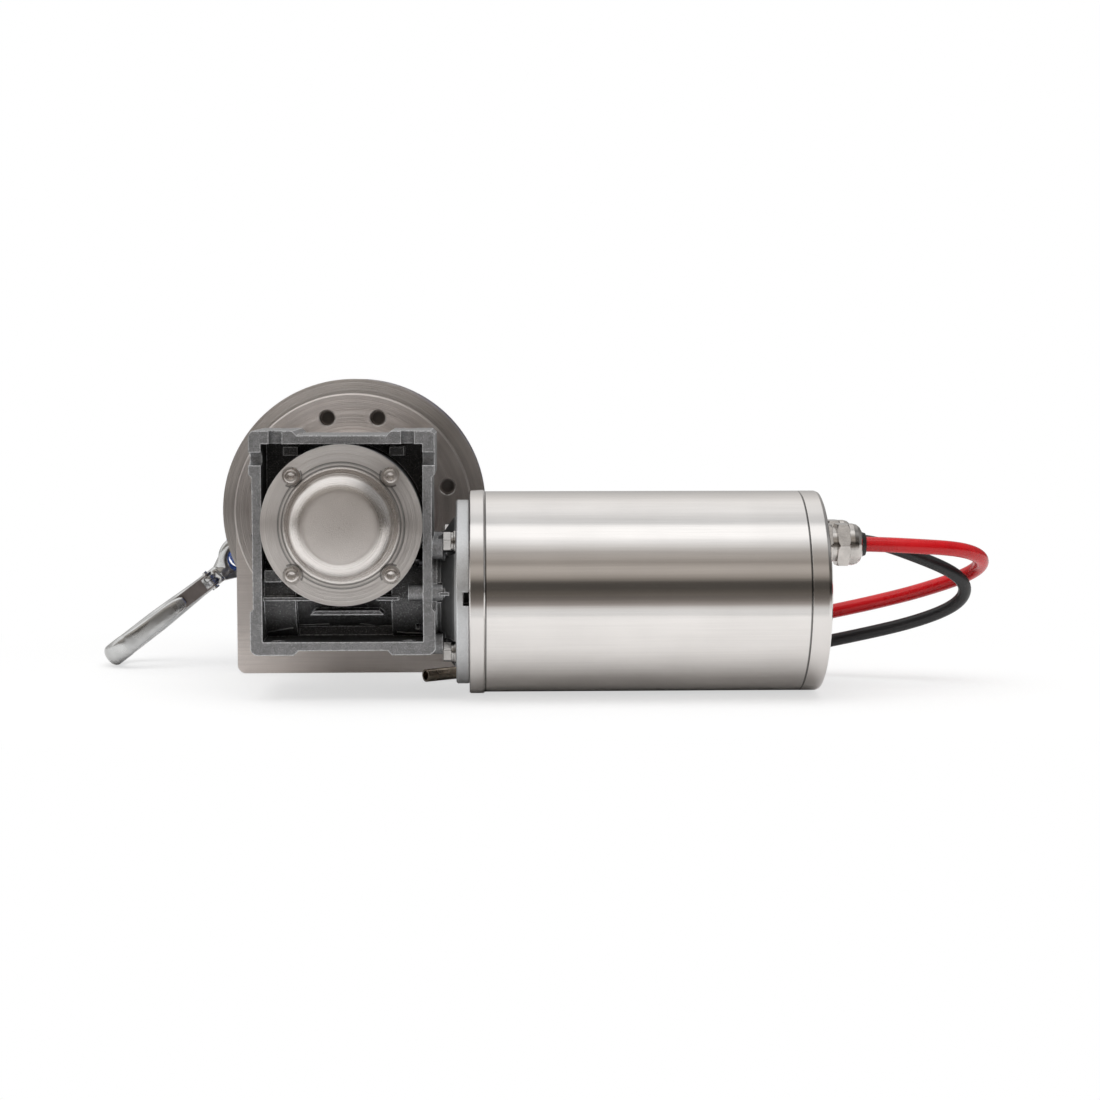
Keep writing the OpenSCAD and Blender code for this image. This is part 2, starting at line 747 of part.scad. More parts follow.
module worm_end_cap() {
  color([0.10, 0.10, 0.11])
  at_motor() along_x(-wall_x + 0.5) {
    cylinder(d = tail_bearing_d, h = 2);
    tube_z(tail_bearing_d / 2, tail_bearing_d / 2 - 2, tail_cap_t - 0.5);
  }
}

// Shaft end cover: a ring with a groove, a bead and a soft dome
module shaft_end_cover() {
  dome_r = dome_d / 2;
  color([0.74, 0.72, 0.69])
  at_gearbox()
  difference() {
    translate([0, -hub_half, 0]) rotate([90, 0, 0]) rotate_extrude($fn = 128)
      union() {
        square([hub_r, cover_t]);
        // shallow step inside the screw circle
        translate([0, cover_t - eps]) square([cover_pcd / 2 - 3.8, 0.6]);
        // rolled bead
        translate([dome_r + 2, cover_t]) circle(r = 1.6, $fn = 32);
        square([dome_r + 2, cover_t + 1.6]);
        // dome: straight flank, round shoulder, slightly crowned top
        polygon(concat(
          [[0, 0], [dome_r, cover_t]],
          [for (a = [0:9:90]) [dome_r - 9.5 + 9.5 * cos(a), cover_t + dome_h - 10.2 + 9.5 * sin(a)]],
          [for (x = [dome_r - 12:-2:0]) [x, cover_t + dome_h - 0.7 * pow(x / (dome_r - 9.5), 2)]]
        ));
      }
    // hollow under the dome
    along_y(-hub_half - cover_t - dome_h + 2.2) cylinder(r = dome_r - 8, h = dome_h + cover_t);
    along_y(-hub_half - cover_t - 6) cylinder(r = dome_r - 2.5, h = cover_t + 8);
    on_circle_y(cover_pcd, 4, 45) {
      along_y(-hub_half - cover_t - 1) cylinder(r = m6_r + hole_gap, h = cover_t + 3, $fn = 48);
      along_y(-hub_half - cover_t - 4) cylinder(r = m6_head_r, h = 4.8, $fn = 48);
    }
  }
}
module cover_screws() {
  color([0.80, 0.79, 0.77])
  at_gearbox() on_circle_y(cover_pcd, 4, 45)
    translate([0, -hub_half - cover_t + 0.8, 0]) rotate([90, 0, 0])
      cap_screw(m6_r, m6_head_r - 1.2, 3.4, 14);
}
module shaft_end_washer() {
  color([0.66, 0.66, 0.67])
  at_gearbox() {
    along_y(-hub_half - 3) tube_z(13, m6_r + hole_gap, 3);
    translate([0, -hub_half - 3, 0]) rotate([90, 0, 0]) cap_screw(m6_r, m6_head_r, m6_head_h, 20);
  }
}

// Output flange: a disc with a ring of holes, a hollow cone and a gearbox ring
module output_flange() {
  foot_r = hub_r;
  cone_r = 50;
  color([0.68, 0.65, 0.62])
  at_gearbox()
  difference() {
    along_y(0) rotate_extrude($fn = 160) difference() {
      union() {
        polygon([[26, hub_half], [foot_r, hub_half], [foot_r, hub_half + 6], [cone_r - 4, flange_face - 5],
          [cone_r - 1.4, flange_face - 1.4], [cone_r + 0.6, flange_face], [arch_r - 1, flange_face],
          [arch_r, flange_face + 1], [arch_r, plate_face], [26, plate_face]]);
      }
      polygon([[25, hub_half + 12], [foot_r - 9, hub_half + 12], [foot_r - 5, plate_face - 6],
        [foot_r - 5, plate_face + 1], [25, plate_face + 1]]);
    }
    // holes of the disc, chamfered in front
    on_circle_y(flange_pcd, flange_holes, 180 / flange_holes) {
      along_y(flange_face - 1) cylinder(d = flange_hole_d, h = flange_t + 2, $fn = 48);
      along_y(flange_face - eps) cylinder(d1 = flange_hole_d + 1.6, d2 = flange_hole_d, h = 0.8, $fn = 48);
    }
    // counterbored holes to the gearbox
    on_circle_y(cover_pcd, 4, 45) {
      along_y(hub_half - 1) cylinder(r = m6_r + hole_gap, h = 30, $fn = 48);
      along_y(hub_half + 8) cylinder(r = m6_head_r + 0.4, h = plate_face, $fn = 48);
    }
  }
}
module flange_gear_screws() {
  color([0.55, 0.55, 0.56])
  at_gearbox() on_circle_y(cover_pcd, 4, 45)
    translate([0, hub_half + 8, 0]) rotate([-90, 0, 0]) cap_screw(m6_r, m6_head_r, m6_head_h, 18);
}
module flange_plate_screws() {
  color([0.55, 0.55, 0.56])
  at_gearbox() on_circle_y(flange_pcd, 4, 45)
    translate([0, flange_face, 0]) rotate([90, 0, 0])
      cap_screw(m8_r, m8_head_r, m8_head_h, flange_t + side_plate_t);
}

// Motor
module motor_adaptor() {
  cone_end = 42.5;
  notch_h = 7.4;
  notch_deep = 13;
  color([0.60, 0.61, 0.62])
  at_motor()
  difference() {
    union() {
      along_x(0) rotate_extrude($fn = 128) polygon([
        [0, adaptor_x], [in_boss_r, adaptor_x], [in_boss_r + 0.5, adaptor_x + 2], [cone_end - 2, rim_x - 2],
        [cone_end, rim_x],
        [adaptor_d / 2 - 0.8, rim_x], [adaptor_d / 2, rim_x + 0.8], [adaptor_d / 2, bracket_x - 0.6],
        [adaptor_d / 2 - 0.6, bracket_x], [0, bracket_x]
      ]);
      // bells round the housing's side bosses, split by a thin rib
      for (y = [-1, 1]) {
        translate([0, y * side_boss_y, side_boss_z]) along_x(adaptor_x + 2)
          cylinder(r1 = 4.2, r2 = 6.8, h = rim_x - adaptor_x - 1.5, $fn = 48);
        translate([adaptor_x + 1, y * (side_boss_y + 5) - 3, side_boss_z - 0.8])
          cube([rim_x - adaptor_x, 6, 1.6]);
      }
    }
    along_x(adaptor_x - 1) cylinder(r = 16, h = 30);
    along_x(adaptor_x + 8) cylinder(r = register_r - 1, h = 30);
    along_x(bracket_x - 3) cylinder(r = register_r, h = 4);
    // clearance round the housing's bosses and the bolt heads
    for (y = [-1, 1], z = [-1, 1]) {
      translate([0, y * corner_boss_y, z * corner_boss_z]) along_x(adaptor_x - 1)
        cylinder(r = 6.2, h = 5.5, $fn = 48);
    }
    for (y = [-1, 1]) {
      translate([0, y * side_boss_y, side_boss_z]) along_x(adaptor_x - 1) cylinder(r = 5.2, h = 4.5, $fn = 48);
    }
    on_circle_x(adaptor_pcd, 4) {
      along_x(rim_x - 12) cylinder(r = 7.4, h = 12, $fn = 48);
      along_x(rim_x - 1) cylinder(r = m6_r + hole_gap, h = adaptor_rim_t + 2, $fn = 48);
    }
    on_circle_x(in_pcd, 4) {
      along_x(adaptor_x - 1) cylinder(r = m5_r + hole_gap, h = 20, $fn = 48);
    }
    // drain notches in the rim
    for (s = [-1, 1]) {
      translate([bracket_x - 3.4, s * adaptor_d / 2 - notch_deep, 1 - notch_h / 2])
        cube([4, 2 * notch_deep, notch_h]);
    }
  }
}
module adaptor_screws() {
  color([0.45, 0.45, 0.47])
  at_motor() on_circle_x(in_pcd, 4)
    translate([adaptor_x + 8, 0, 0]) rotate([0, 90, 0]) cap_screw(m5_r, m5_head_r, m5_head_h, 18);
}
module adaptor_bolts() {
  color([0.80, 0.79, 0.77])
  at_motor() on_circle_x(adaptor_pcd, 4) {
    along_x(rim_x - 1.2) tube_z(6.2, m6_r + 0.1, 1.2, $fn = 48);
    along_x(rim_x - 2.6) tube_z(5.4, m6_r + 0.1, 1.4, $fn = 48);
    along_x(rim_x - 6.8) rotate(15) cylinder(r = 5.8, h = 4.2, $fn = 6);
    along_x(rim_x - 6) cylinder(r = m6_r, h = adaptor_rim_t + 12, $fn = 48);
  }
}
module motor_bracket() {
  color([0.73, 0.71, 0.68])
  at_motor()
  difference() {
    union() {
      along_x(0) rotate_extrude($fn = 160) polygon([
        [0, bracket_x - 2.5], [register_r - slip, bracket_x - 2.5], [register_r - slip, bracket_x],
        [bracket_d / 2 - 0.6, bracket_x], [bracket_d / 2, bracket_x + 0.6],
        [bracket_d / 2, tube_x - 0.8], [bracket_d / 2 - 0.8, tube_x], [tube_in_r - slip, tube_x],
        [tube_in_r - slip, tube_x + 5], [32, tube_x + 5], [28, bracket_x + bracket_boss + 3],
        [0, bracket_x + bracket_boss + 3]
      ]);
    }
    along_x(front_bearing_x) cylinder(d = bearing_od, h = 2 * bracket_boss);
    along_x(bracket_x - 5) cylinder(d = motor_shaft_d + 2, h = 2 * bracket_boss);
    on_circle_x(adaptor_pcd, 4)
      along_x(bracket_x - 1) cylinder(r = m6_r + slip, h = bracket_t + 8, $fn = 48);
  }
}
module motor_tube() {
  color([0.76, 0.74, 0.71])
  at_motor() along_x(tube_x) tube_z(motor_d / 2, tube_in_r, tube_len, $fn = 160);
}
module motor_end_cap() {
  color([0.75, 0.73, 0.70])
  at_motor()
  difference() {
    along_x(0) rotate_extrude($fn = 160) difference() {
      polygon([
        [0, cap_x - 5], [tube_in_r - slip, cap_x - 5], [tube_in_r - slip, cap_x], [motor_d / 2 - 0.5, cap_x],
        [motor_d / 2, cap_x + 0.5], [motor_d / 2, motor_end - 2.2], [motor_d / 2 - 0.65, motor_end - 0.65],
        [motor_d / 2 - 2.2, motor_end], [0, motor_end]
      ]);
      translate([bearing_od / 2 + 5, cap_x - 6]) square([tube_in_r - bearing_od / 2 - 12, 8]);
    }
    along_x(rear_bearing_x - 20) cylinder(d = bearing_od, h = 20 + bearing_w);
    for (s = [-1, 1]) {
      translate([0, s * gland_pitch / 2, gland_rise])
        along_x(cap_x - 6) cylinder(r = gland_seat_r, h = cap_t + 8, $fn = 48);
    }
  }
}
module motor_magnets() {
  color([0.25, 0.25, 0.27])
  at_motor() along_x(armature_x - 2) difference() {
    tube_z(tube_in_r, tube_in_r - magnet_t, armature_len + 4, $fn = 128);
    for (a = [0, 90]) {
      rotate(a + 45) translate([-motor_d, -7, -1]) cube([2 * motor_d, 14, armature_len + 6]);
    }
  }
}
module armature() {
  slots = 16;
  color([0.70, 0.40, 0.22])
  at_motor() difference() {
    union() {
      along_x(armature_x) cylinder(r = armature_r, h = armature_len);
      along_x(armature_x - 10) cylinder(r = armature_r - 7, h = armature_len + 10 + commutator_gap);
      along_x(commutator_x) cylinder(r = commutator_r, h = commutator_len);
    }
    along_x(armature_x - 11) cylinder(r = core_bore_r, h = armature_len + commutator_len + 30);
    for (i = [0:slots - 1]) {
      rotate([i * 360 / slots, 0, 0]) translate([armature_x - 1, -1.6, armature_r - 6])
        cube([armature_len + 2, 3.2, 8]);
    }
  }
}
module motor_shaft() {
  color([0.66, 0.66, 0.67])
  at_motor() {
    difference() {
      union() {
        along_x(in_bearing_x - 4) cylinder(d = input_bore - 2 * slip, h = bracket_x - in_bearing_x + 4);
        along_x(bracket_x - 1) cylinder(d = motor_shaft_d, h = motor_end - 3 - bracket_x);
        along_x(front_bearing_x + bearing_w)
          cylinder(r = core_bore_r, h = rear_bearing_x - front_bearing_x - bearing_w);
      }
      translate([in_bearing_x, -key_out / 2 + 0.5, input_bore / 2 - 2.6]) cube([key_in_len, key_out - 1, 10]);
    }
    // drive key
    translate([in_bearing_x, -key_out / 2 + 0.5, input_bore / 2 - 2.6])
      cube([key_in_len, key_out - 1, 4.8]);
  }
}
module motor_bearing_outers() {
  color([0.72, 0.73, 0.74])
  at_motor() for (x = [front_bearing_x, rear_bearing_x]) {
    along_x(x) outer_ring(bearing_od / 2, bearing_id / 2, bearing_w);
  }
}
module motor_bearing_inners() {
  color([0.78, 0.79, 0.80])
  at_motor() for (x = [front_bearing_x, rear_bearing_x]) {
    along_x(x) inner_ring(bearing_od / 2, bearing_id / 2, bearing_w);
  }
}
module motor_brushes() {
  color([0.20, 0.18, 0.17])
  at_motor() {
    // four carbon brushes in a ring held by the end cap
    for (a = [45:90:315]) {
      rotate([a, 0, 0]) translate([commutator_x + 4, -4, commutator_r + 0.1]) cube([brush_len, 8, 16]);
    }
    along_x(commutator_x + 4 + brush_len) tube_z(tube_in_r - slip, commutator_r + 4, 3);
  }
}

// Cable glands
module at_gland(side) {
  translate([motor_end, gear_y + side * gland_pitch / 2, gland_z]) rotate([0, 90, 0]) children();
}
module at_glands() {
  at_gland(-1) children();
  at_gland(1) children();
}
module gland_bodies() {
  color([0.82, 0.81, 0.79])
  at_glands() difference() {
    union() {
      translate([0, 0, -cap_t]) cylinder(r = gland_seat_r - slip, h = cap_t + 1, $fn = 48);
      intersection() {
        rotate(30) cylinder(r = gland_hex_r, h = 4.6, $fn = 6);
        cylinder(r1 = gland_hex_r + 1, r2 = gland_hex_r - 0.8, h = 4.6, $fn = 64);
      }
      cylinder(r = 9.4, h = gland_groove, $fn = 64);
    }
    translate([0, 0, -cap_t - 1]) cylinder(r = 5, h = cap_t + 20, $fn = 48);
  }
}
module gland_nuts() {
  color([0.84, 0.83, 0.81])
  at_glands() difference() {
    union() {
      intersection() {
        translate([0, 0, gland_groove]) rotate(30) cylinder(r = gland_hex_r, h = gland_nut_t, $fn = 6);
        translate([0, 0, gland_groove]) rotate_extrude($fn = 64) polygon([
          [0, 0], [gland_hex_r - 1.2, 0], [gland_hex_r, 1], [gland_hex_r, gland_nut_t - 1],
          [gland_hex_r - 1.2, gland_nut_t], [0, gland_nut_t]
        ]);
      }
      translate([0, 0, gland_end - gland_dome]) rotate_extrude($fn = 64) polygon([
        [0, 0], [gland_hex_r - 1.6, 0], [gland_hex_r - 1.6, 2.6], [gland_hex_r - 2.2, 4.8],
        [gland_hex_r - 3.6, 6.5], [gland_hex_r - 5.6, gland_dome], [0, gland_dome]
      ]);
    }
    translate([0, 0, gland_groove - 0.5]) cylinder(r = 7, h = 20, $fn = 48);
  }
}
module gland_seal(lead_d) {
  seal_len = gland_end - gland_groove - 0.5;
  difference() {
    translate([0, 0, gland_groove + 0.5]) rotate_extrude($fn = 48) polygon([
      [0, 0], [7 - slip, 0], [7 - slip, seal_len], [6.2, seal_len + seal_proud], [0, seal_len + seal_proud]
    ]);
    translate([0, 0, gland_groove]) cylinder(r = lead_d / 2, h = 20, $fn = 48);
  }
}
module gland_seals() {
  color([0.06, 0.06, 0.06]) {
    at_gland(-1) gland_seal(red_d);
    at_gland(1) gland_seal(black_d);
  }
}
module red_lead() {
  color([0.66, 0.03, 0.05])
  cord(red_route, red_d, 12);
}
module black_lead() {
  color([0.04, 0.04, 0.045])
  cord(black_route, black_d, 12);
}
// Crimped copper tubes on the ends of the leads
module ferrule(from, to, lead_d) {
  h = unit(to - from);
  az = atan2(h[1], h[0]);
  translate(to) rotate([0, 0, az]) rotate([0, 90, 0]) difference() {
    translate([0, 0, face_gap / 10]) cylinder(d = lead_d, h = 22, $fn = 48);
    translate([0, 0, 8]) cylinder(d = lead_d - 2, h = 20, $fn = 48);
  }
}
module lead_ferrules() {
  color([0.58, 0.45, 0.34])
  {
    ferrule(red_route[len(red_route) - 2], red_route[len(red_route) - 1], red_d);
    ferrule(black_route[len(black_route) - 2], black_route[len(black_route) - 1], black_d);
  }
}

// Drum and its shaft
module drum_shaft() {
  color([0.64, 0.64, 0.65])
  at_drum() difference() {
    union() {
      along_y(gear_y - hub_half + 1) cylinder(d = output_bore - 2 * slip, h = hub_width + 2);
      along_y(gear_y + hub_half + 0.2) cylinder(d = shaft_d, h = shaft_end_y - gear_y - hub_half - 0.2);
    }
    along_y(gear_y - hub_half) cylinder(r = m6_r + slip, h = 24, $fn = 48);
    translate([-key_out / 2, gear_y - key_len_out / 2, output_bore / 2 - key_out / 2])
      cube([key_out, key_len_out, key_out]);
    translate([-key_drum / 2, -drum_width / 2, shaft_d / 2 - key_drum / 2])
      cube([key_drum, drum_width, key_drum]);
    // groove of the circlip
    along_y(shaft_end_y - 2.5) tube_z(shaft_d, shaft_d / 2 - 1, 1.3);
  }
}
module shaft_keys() {
  color([0.50, 0.50, 0.51])
  at_drum() {
    translate([-key_out / 2, gear_y - key_len_out / 2, output_bore / 2 - key_out / 2])
      cube([key_out, key_len_out, key_out]);
    translate([-key_drum / 2, -drum_width / 2, shaft_d / 2 - key_drum / 2])
      cube([key_drum, drum_width, key_drum - 0.5]);
  }
}
module drum_barrel() {
  color([0.70, 0.68, 0.66])
  at_drum() difference() {
    union() {
      along_y(-drum_half) tube_z(barrel_d / 2, barrel_d / 2 - barrel_wall, 2 * drum_half);
      for (y = [-drum_half, drum_half - drum_hub_t]) {
        along_y(y) cylinder(r = barrel_d / 2 - 1, h = drum_hub_t);
      }
    }
    along_y(-drum_half - 1) cylinder(d = shaft_d + 2 * slip, h = 2 * drum_half + 2);
    keyway_y(-drum_half - 1, 2 * drum_half + 2, key_drum, shaft_d / 2);
  }
}
module drum_flange(y) {
  at_drum() along_y(y) difference() {
    cylinder(d = drum_flange_d, h = drum_flange_t, $fn = 180);
    translate([0, 0, -1]) cylinder(d = barrel_d, h = drum_flange_t + 2);
  }
}
module drum_flange_near() {
  color([0.67, 0.64, 0.62]) drum_flange(-drum_half);
}
module drum_flange_far() {
  color([0.67, 0.64, 0.62]) drum_flange(drum_half - drum_flange_t);
}
module far_bearing_housing() {
  color([0.68, 0.66, 0.63])
  at_drum() difference() {
    along_y(plate_out_y) rotate_extrude($fn = 128) polygon([
      [0, 0], [far_flange_r, 0], [far_flange_r, far_flange_t - 1], [far_flange_r - 1, far_flange_t],
      [far_hub_r + 1.5, far_flange_t], [far_hub_r, far_flange_t + 1.5], [far_hub_r, far_depth - 2],
      [far_hub_r - 2, far_depth], [0, far_depth]
    ]);
    along_y(plate_out_y - 1) cylinder(d = far_bearing_od, h = far_bearing_w + 1);
    along_y(plate_out_y) cylinder(d = far_bearing_od - 8, h = far_depth - 3);
    on_circle_y(far_pcd, 4, 45) along_y(plate_out_y - 1)
      cylinder(r = m6_r + hole_gap, h = far_flange_t + 2, $fn = 48);
  }
}
module far_bearing_outer() {
  color([0.72, 0.73, 0.74])
  at_drum() along_y(plate_out_y) outer_ring(far_bearing_od / 2, shaft_d / 2, far_bearing_w);
}
module far_bearing_inner() {
  color([0.78, 0.79, 0.80])
  at_drum() along_y(plate_out_y) inner_ring(far_bearing_od / 2, shaft_d / 2, far_bearing_w);
}
module housing_screws() {
  color([0.78, 0.77, 0.75])
  at_drum() on_circle_y(far_pcd, 4, 45)
    translate([0, plate_out_y + far_flange_t, 0]) rotate([-90, 0, 0])
      cap_screw(m6_r, m6_head_r, m6_head_h, far_flange_t + side_plate_t);
}
module shaft_circlip() {
  color([0.35, 0.35, 0.36])
  at_drum() along_y(shaft_end_y - 2.5 + slip) difference() {
    tube_z(shaft_d / 2 + 2.5, shaft_d / 2 - 0.9, 1.2);
    translate([-1.5, 0, -1]) cube([3, shaft_d, 4]);
  }
}

// Rope
module rope_coil() {
  core_r = barrel_d / 2 + 0.1;
  color([0.05, 0.27, 0.62])
  at_drum() along_y(-coil_turns * rope_r) rotate_extrude() union() {
    translate([core_r, 0]) square([coil_r - rope_r - core_r, coil_turns * rope_d]);
    for (i = [0:coil_turns - 1]) {
      translate([coil_r - rope_r, rope_r + i * rope_d]) circle(r = rope_r, $fn = 32);
    }
  }
}
module rope_tail() {
  // the splice thickens the tail towards the thimble
  thick = [0, 0, 0, 0.3, 0.9, 1.5, 1.9];
  color([0.06, 0.30, 0.68])
  difference() {
    at_drum() swept([for (p = tail_route) [p[0], 0, p[1]]], [for (t = thick) [rope_r + t, rope_r + t]],
      12, [0, 1, 0]);
    // end resting on the eye's two legs
    translate([thimble_x - 10, -10, thimble_z + neck_z - 9.9]) cube([20, 20, 10]);
  }
}
// The thimble's own plane: x across, z up, round end down
module at_thimble() {
  translate([thimble_x, 0, thimble_z]) rotate([0, 0, -thimble_turn]) children();
}
module rope_eye() {
  leg = [sin(eye_from), -cos(eye_from)];
  left = eye_r * [cos(eye_from), sin(eye_from)];
  low = [for (t = [thimble_leg, thimble_leg * 0.5]) left + leg * t];
  round_end = [for (a = [eye_from:(540 - 2 * eye_from) / 14:540.01 - eye_from]) eye_r * [cos(a), sin(a)]];
  neck = [for (z = [neck_z, neck_z - 1.8]) [-rope_r - face_gap, z]];
  half = concat(neck, low);
  path = concat(half, round_end, [for (i = [len(half) - 1:-1:0]) [-half[i][0], half[i][1]]]);
  color([0.06, 0.30, 0.68])
  at_thimble() cord([for (p = path) [p[0], 0, p[1]]], rope_d, 12, [0, 1, 0]);
}
module thimble_section() {
  difference() {
    translate([thimble_r, -rope_r - 1]) square([thimble_deep, 2 * rope_r + 2]);
    translate([thimble_r + 0.8, -rope_r - 0.2]) square([thimble_deep, 2 * rope_r + 0.4]);
  }
}
module rope_thimble() {
  color([0.72, 0.72, 0.72])
  at_thimble() rotate([90, 0, 0]) {
    rotate(eye_from) rotate_extrude(angle = 540 - 2 * eye_from) thimble_section();
    for (s = [0, 1]) {
      mirror([s, 0]) rotate(eye_from) rotate([90, 0, 0])
        translate([0, 0, -eps]) linear_extrude(thimble_leg) thimble_section();
    }
  }
}

// Snap hook
module at_hook() {
  translate([hook_x, 0, hook_z]) rotate([0, 180 - hook_dip, 0]) children();
}
module hook_eye() {
  ring_r = (eye_d - eye_bar) / 2;
  color([0.72, 0.73, 0.73])
  at_hook() {
    rotate([eye_twist, 0, 0]) rotate_extrude() translate([ring_r, 0]) circle(d = eye_bar, $fn = 32);
    along_x(ring_r + 0.6) cylinder(r1 = 4.4, r2 = 5.4, h = hook_neck - ring_r - 0.6);
  }
}
module snap_hook() {
  shank = [
    [hook_neck, 0, 4.6, 5.4], [hook_neck + 1.5, 0, 4.5, 5.4], [22, 0.8, 4.2, 5.4], [27, 3, 4, 5.4],
    [34, 7.5, 3.8, 5.5], [42, 12, 3.8, 5.8],
    [51, 15, 4, 6.2], [60, bow_mid_r, 4.4, 6.6], [70, bow_mid_r, 4.8, 6.9], [bow_cx, bow_mid_r, 5, 6.9]
  ];
  bend = [for (a = [75:-15:-75]) [bow_cx + bow_mid_r * cos(a), bow_mid_r * sin(a), bow_bar / 2, 6.9]];
  nose = [
    [bow_cx, -bow_mid_r, 4.8, 6.8], [74, -bow_mid_r, 4.4, 6.6], [64, -bow_mid_r + 0.4, 4, 6.3],
    [54, -bow_mid_r + 1.4, 3.4, 5.9], [47, -bow_mid_r + 2.4, 2.8, 5], [nose_x, -bow_mid_r + 3, 2, 3.4]
  ];
  path = concat(shank, bend, nose);
  boss_r = 3.4;
  boss_t = latch_in - spring_w - 2 * face_gap;
  color([0.70, 0.71, 0.71])
  at_hook() difference() {
    union() {
      swept([for (p = path) [p[0], p[1], 0]], [for (p = path) [p[2], p[3]]], 16, [0, 0, 1]);
      // boss between the latch's ears
      translate([latch_x, latch_y, -latch_in / 2]) cylinder(r = boss_r, h = boss_t, $fn = 48);
      translate([latch_x - boss_r, latch_y, -latch_in / 2]) cube([2 * boss_r, 6, boss_t]);
    }
    translate([latch_x, latch_y, -20]) cylinder(r = latch_pin_r + run_gap, h = 40, $fn = 48);
  }
}
module hook_latch() {
  plate_t = 1.2;
  end_x = 29;
  color([0.48, 0.45, 0.43])
  at_hook() translate([latch_x, latch_y, 0]) difference() {
    union() {
      // plate lying under the nose
      translate([0, 0, -latch_w / 2]) linear_extrude(latch_w) polygon([
        [4.4, -2.6], [end_x - 9, -3.9], [end_x, -3.7], [end_x, -3.7 + plate_t], [end_x - 9, -3.9 + plate_t],
        [4.4, -2.6 + plate_t]
      ]);
      // ears round the boss
      for (z = [-latch_w / 2, latch_in / 2 + 0.2]) {
        translate([0, 0, z]) cylinder(r = 3.4, h = latch_w / 2 - latch_in / 2 - 0.2, $fn = 48);
        translate([0, -2.6, z]) cube([9, 4.4, latch_w / 2 - latch_in / 2 - 0.2]);
      }
    }
    translate([0, 0, -10]) cylinder(r = latch_pin_r + run_gap, h = 20, $fn = 48);
  }
}
module latch_pin() {
  color([0.80, 0.80, 0.80])
  at_hook() translate([latch_x, latch_y, -latch_pin_len / 2]) {
    cylinder(r = latch_pin_r, h = latch_pin_len, $fn = 48);
    translate([0, 0, latch_pin_len - 1]) cylinder(r = 2.4, h = 1, $fn = 48);
  }
}
// Closed coil round the pin, between the hook's boss and an ear of the latch
module latch_spring() {
  color([0.60, 0.60, 0.60])
  at_hook() translate([latch_x, latch_y, latch_in / 2 - face_gap - spring_w])
    tube_z(2.8, latch_pin_r + run_gap, spring_w, $fn = 48);
}

base_plate();
side_plate_near();
side_plate_far();
corner_welds();
gearbox_housing();
bearing_cover();
output_bearing_outers();
output_bearing_inners();
output_seals();
output_shaft();
worm_wheel();
worm_shaft();
worm_bearing_outers();
worm_bearing_inners();
input_seal();
worm_end_cap();
shaft_end_cover();
cover_screws();
shaft_end_washer();
output_flange();
flange_gear_screws();
flange_plate_screws();
motor_adaptor();
adaptor_screws();
adaptor_bolts();
motor_bracket();
motor_tube();
motor_end_cap();
motor_magnets();
armature();
motor_shaft();
motor_bearing_outers();
motor_bearing_inners();
motor_brushes();
gland_bodies();
gland_nuts();
gland_seals();
red_lead();
black_lead();
lead_ferrules();
drum_shaft();
shaft_keys();
drum_barrel();
drum_flange_near();
drum_flange_far();
far_bearing_housing();
far_bearing_outer();
far_bearing_inner();
housing_screws();
shaft_circlip();
rope_coil();
rope_tail();
rope_eye();
rope_thimble();
hook_eye();
snap_hook();
hook_latch();
latch_pin();
latch_spring();
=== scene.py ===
# Electric rope-drum hauler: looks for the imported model, in metres.
import math
import json
import random
import bpy
import bmesh
from mathutils import Vector, Matrix, noise

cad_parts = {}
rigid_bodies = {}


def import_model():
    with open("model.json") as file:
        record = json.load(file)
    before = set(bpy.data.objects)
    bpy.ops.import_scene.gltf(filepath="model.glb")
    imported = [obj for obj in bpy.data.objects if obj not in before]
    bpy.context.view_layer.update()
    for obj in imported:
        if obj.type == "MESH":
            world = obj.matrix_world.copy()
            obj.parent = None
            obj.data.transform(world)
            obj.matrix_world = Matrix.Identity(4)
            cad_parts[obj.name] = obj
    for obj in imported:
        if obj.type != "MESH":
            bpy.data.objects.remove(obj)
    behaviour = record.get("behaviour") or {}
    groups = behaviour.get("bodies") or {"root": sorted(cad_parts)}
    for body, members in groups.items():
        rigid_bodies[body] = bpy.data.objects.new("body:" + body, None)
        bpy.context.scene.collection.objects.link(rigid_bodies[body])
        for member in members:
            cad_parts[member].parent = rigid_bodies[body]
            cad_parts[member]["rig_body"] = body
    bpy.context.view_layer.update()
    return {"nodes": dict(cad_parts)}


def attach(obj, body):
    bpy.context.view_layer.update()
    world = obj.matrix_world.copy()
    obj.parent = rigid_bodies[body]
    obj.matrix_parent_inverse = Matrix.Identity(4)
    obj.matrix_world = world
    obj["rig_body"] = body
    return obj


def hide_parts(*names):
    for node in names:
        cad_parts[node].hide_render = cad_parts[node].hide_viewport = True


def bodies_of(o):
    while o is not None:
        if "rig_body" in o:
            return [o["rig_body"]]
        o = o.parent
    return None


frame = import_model()
MM = 0.001

# Heights of the drum axis and of the motor axis, and the motor axis's y
AXIS_Z = 0.09675
MOTOR_Z = 0.05675
GEAR_Y = -0.1205
# Fronts of the near side plate and of the output flange, in y
PLATE_FACE = -0.0404
DISC_FACE = -0.0498
# The output flange's holes: bolt circle radius, hole radius and count
HOLE_RING = 0.0575
HOLE_R = 0.0043
HOLES = 12
# The shaft-end cover's screws: bolt circle radius, count and the dent's radius round each
SCREW_RING = 0.0375
SCREWS = 4
SCREW_DENT = 0.0056
# The blue rope: radius, strands each way round it and length of one strand's turn
ROPE_R = 0.003
STRANDS = 8
PITCH = 0.021


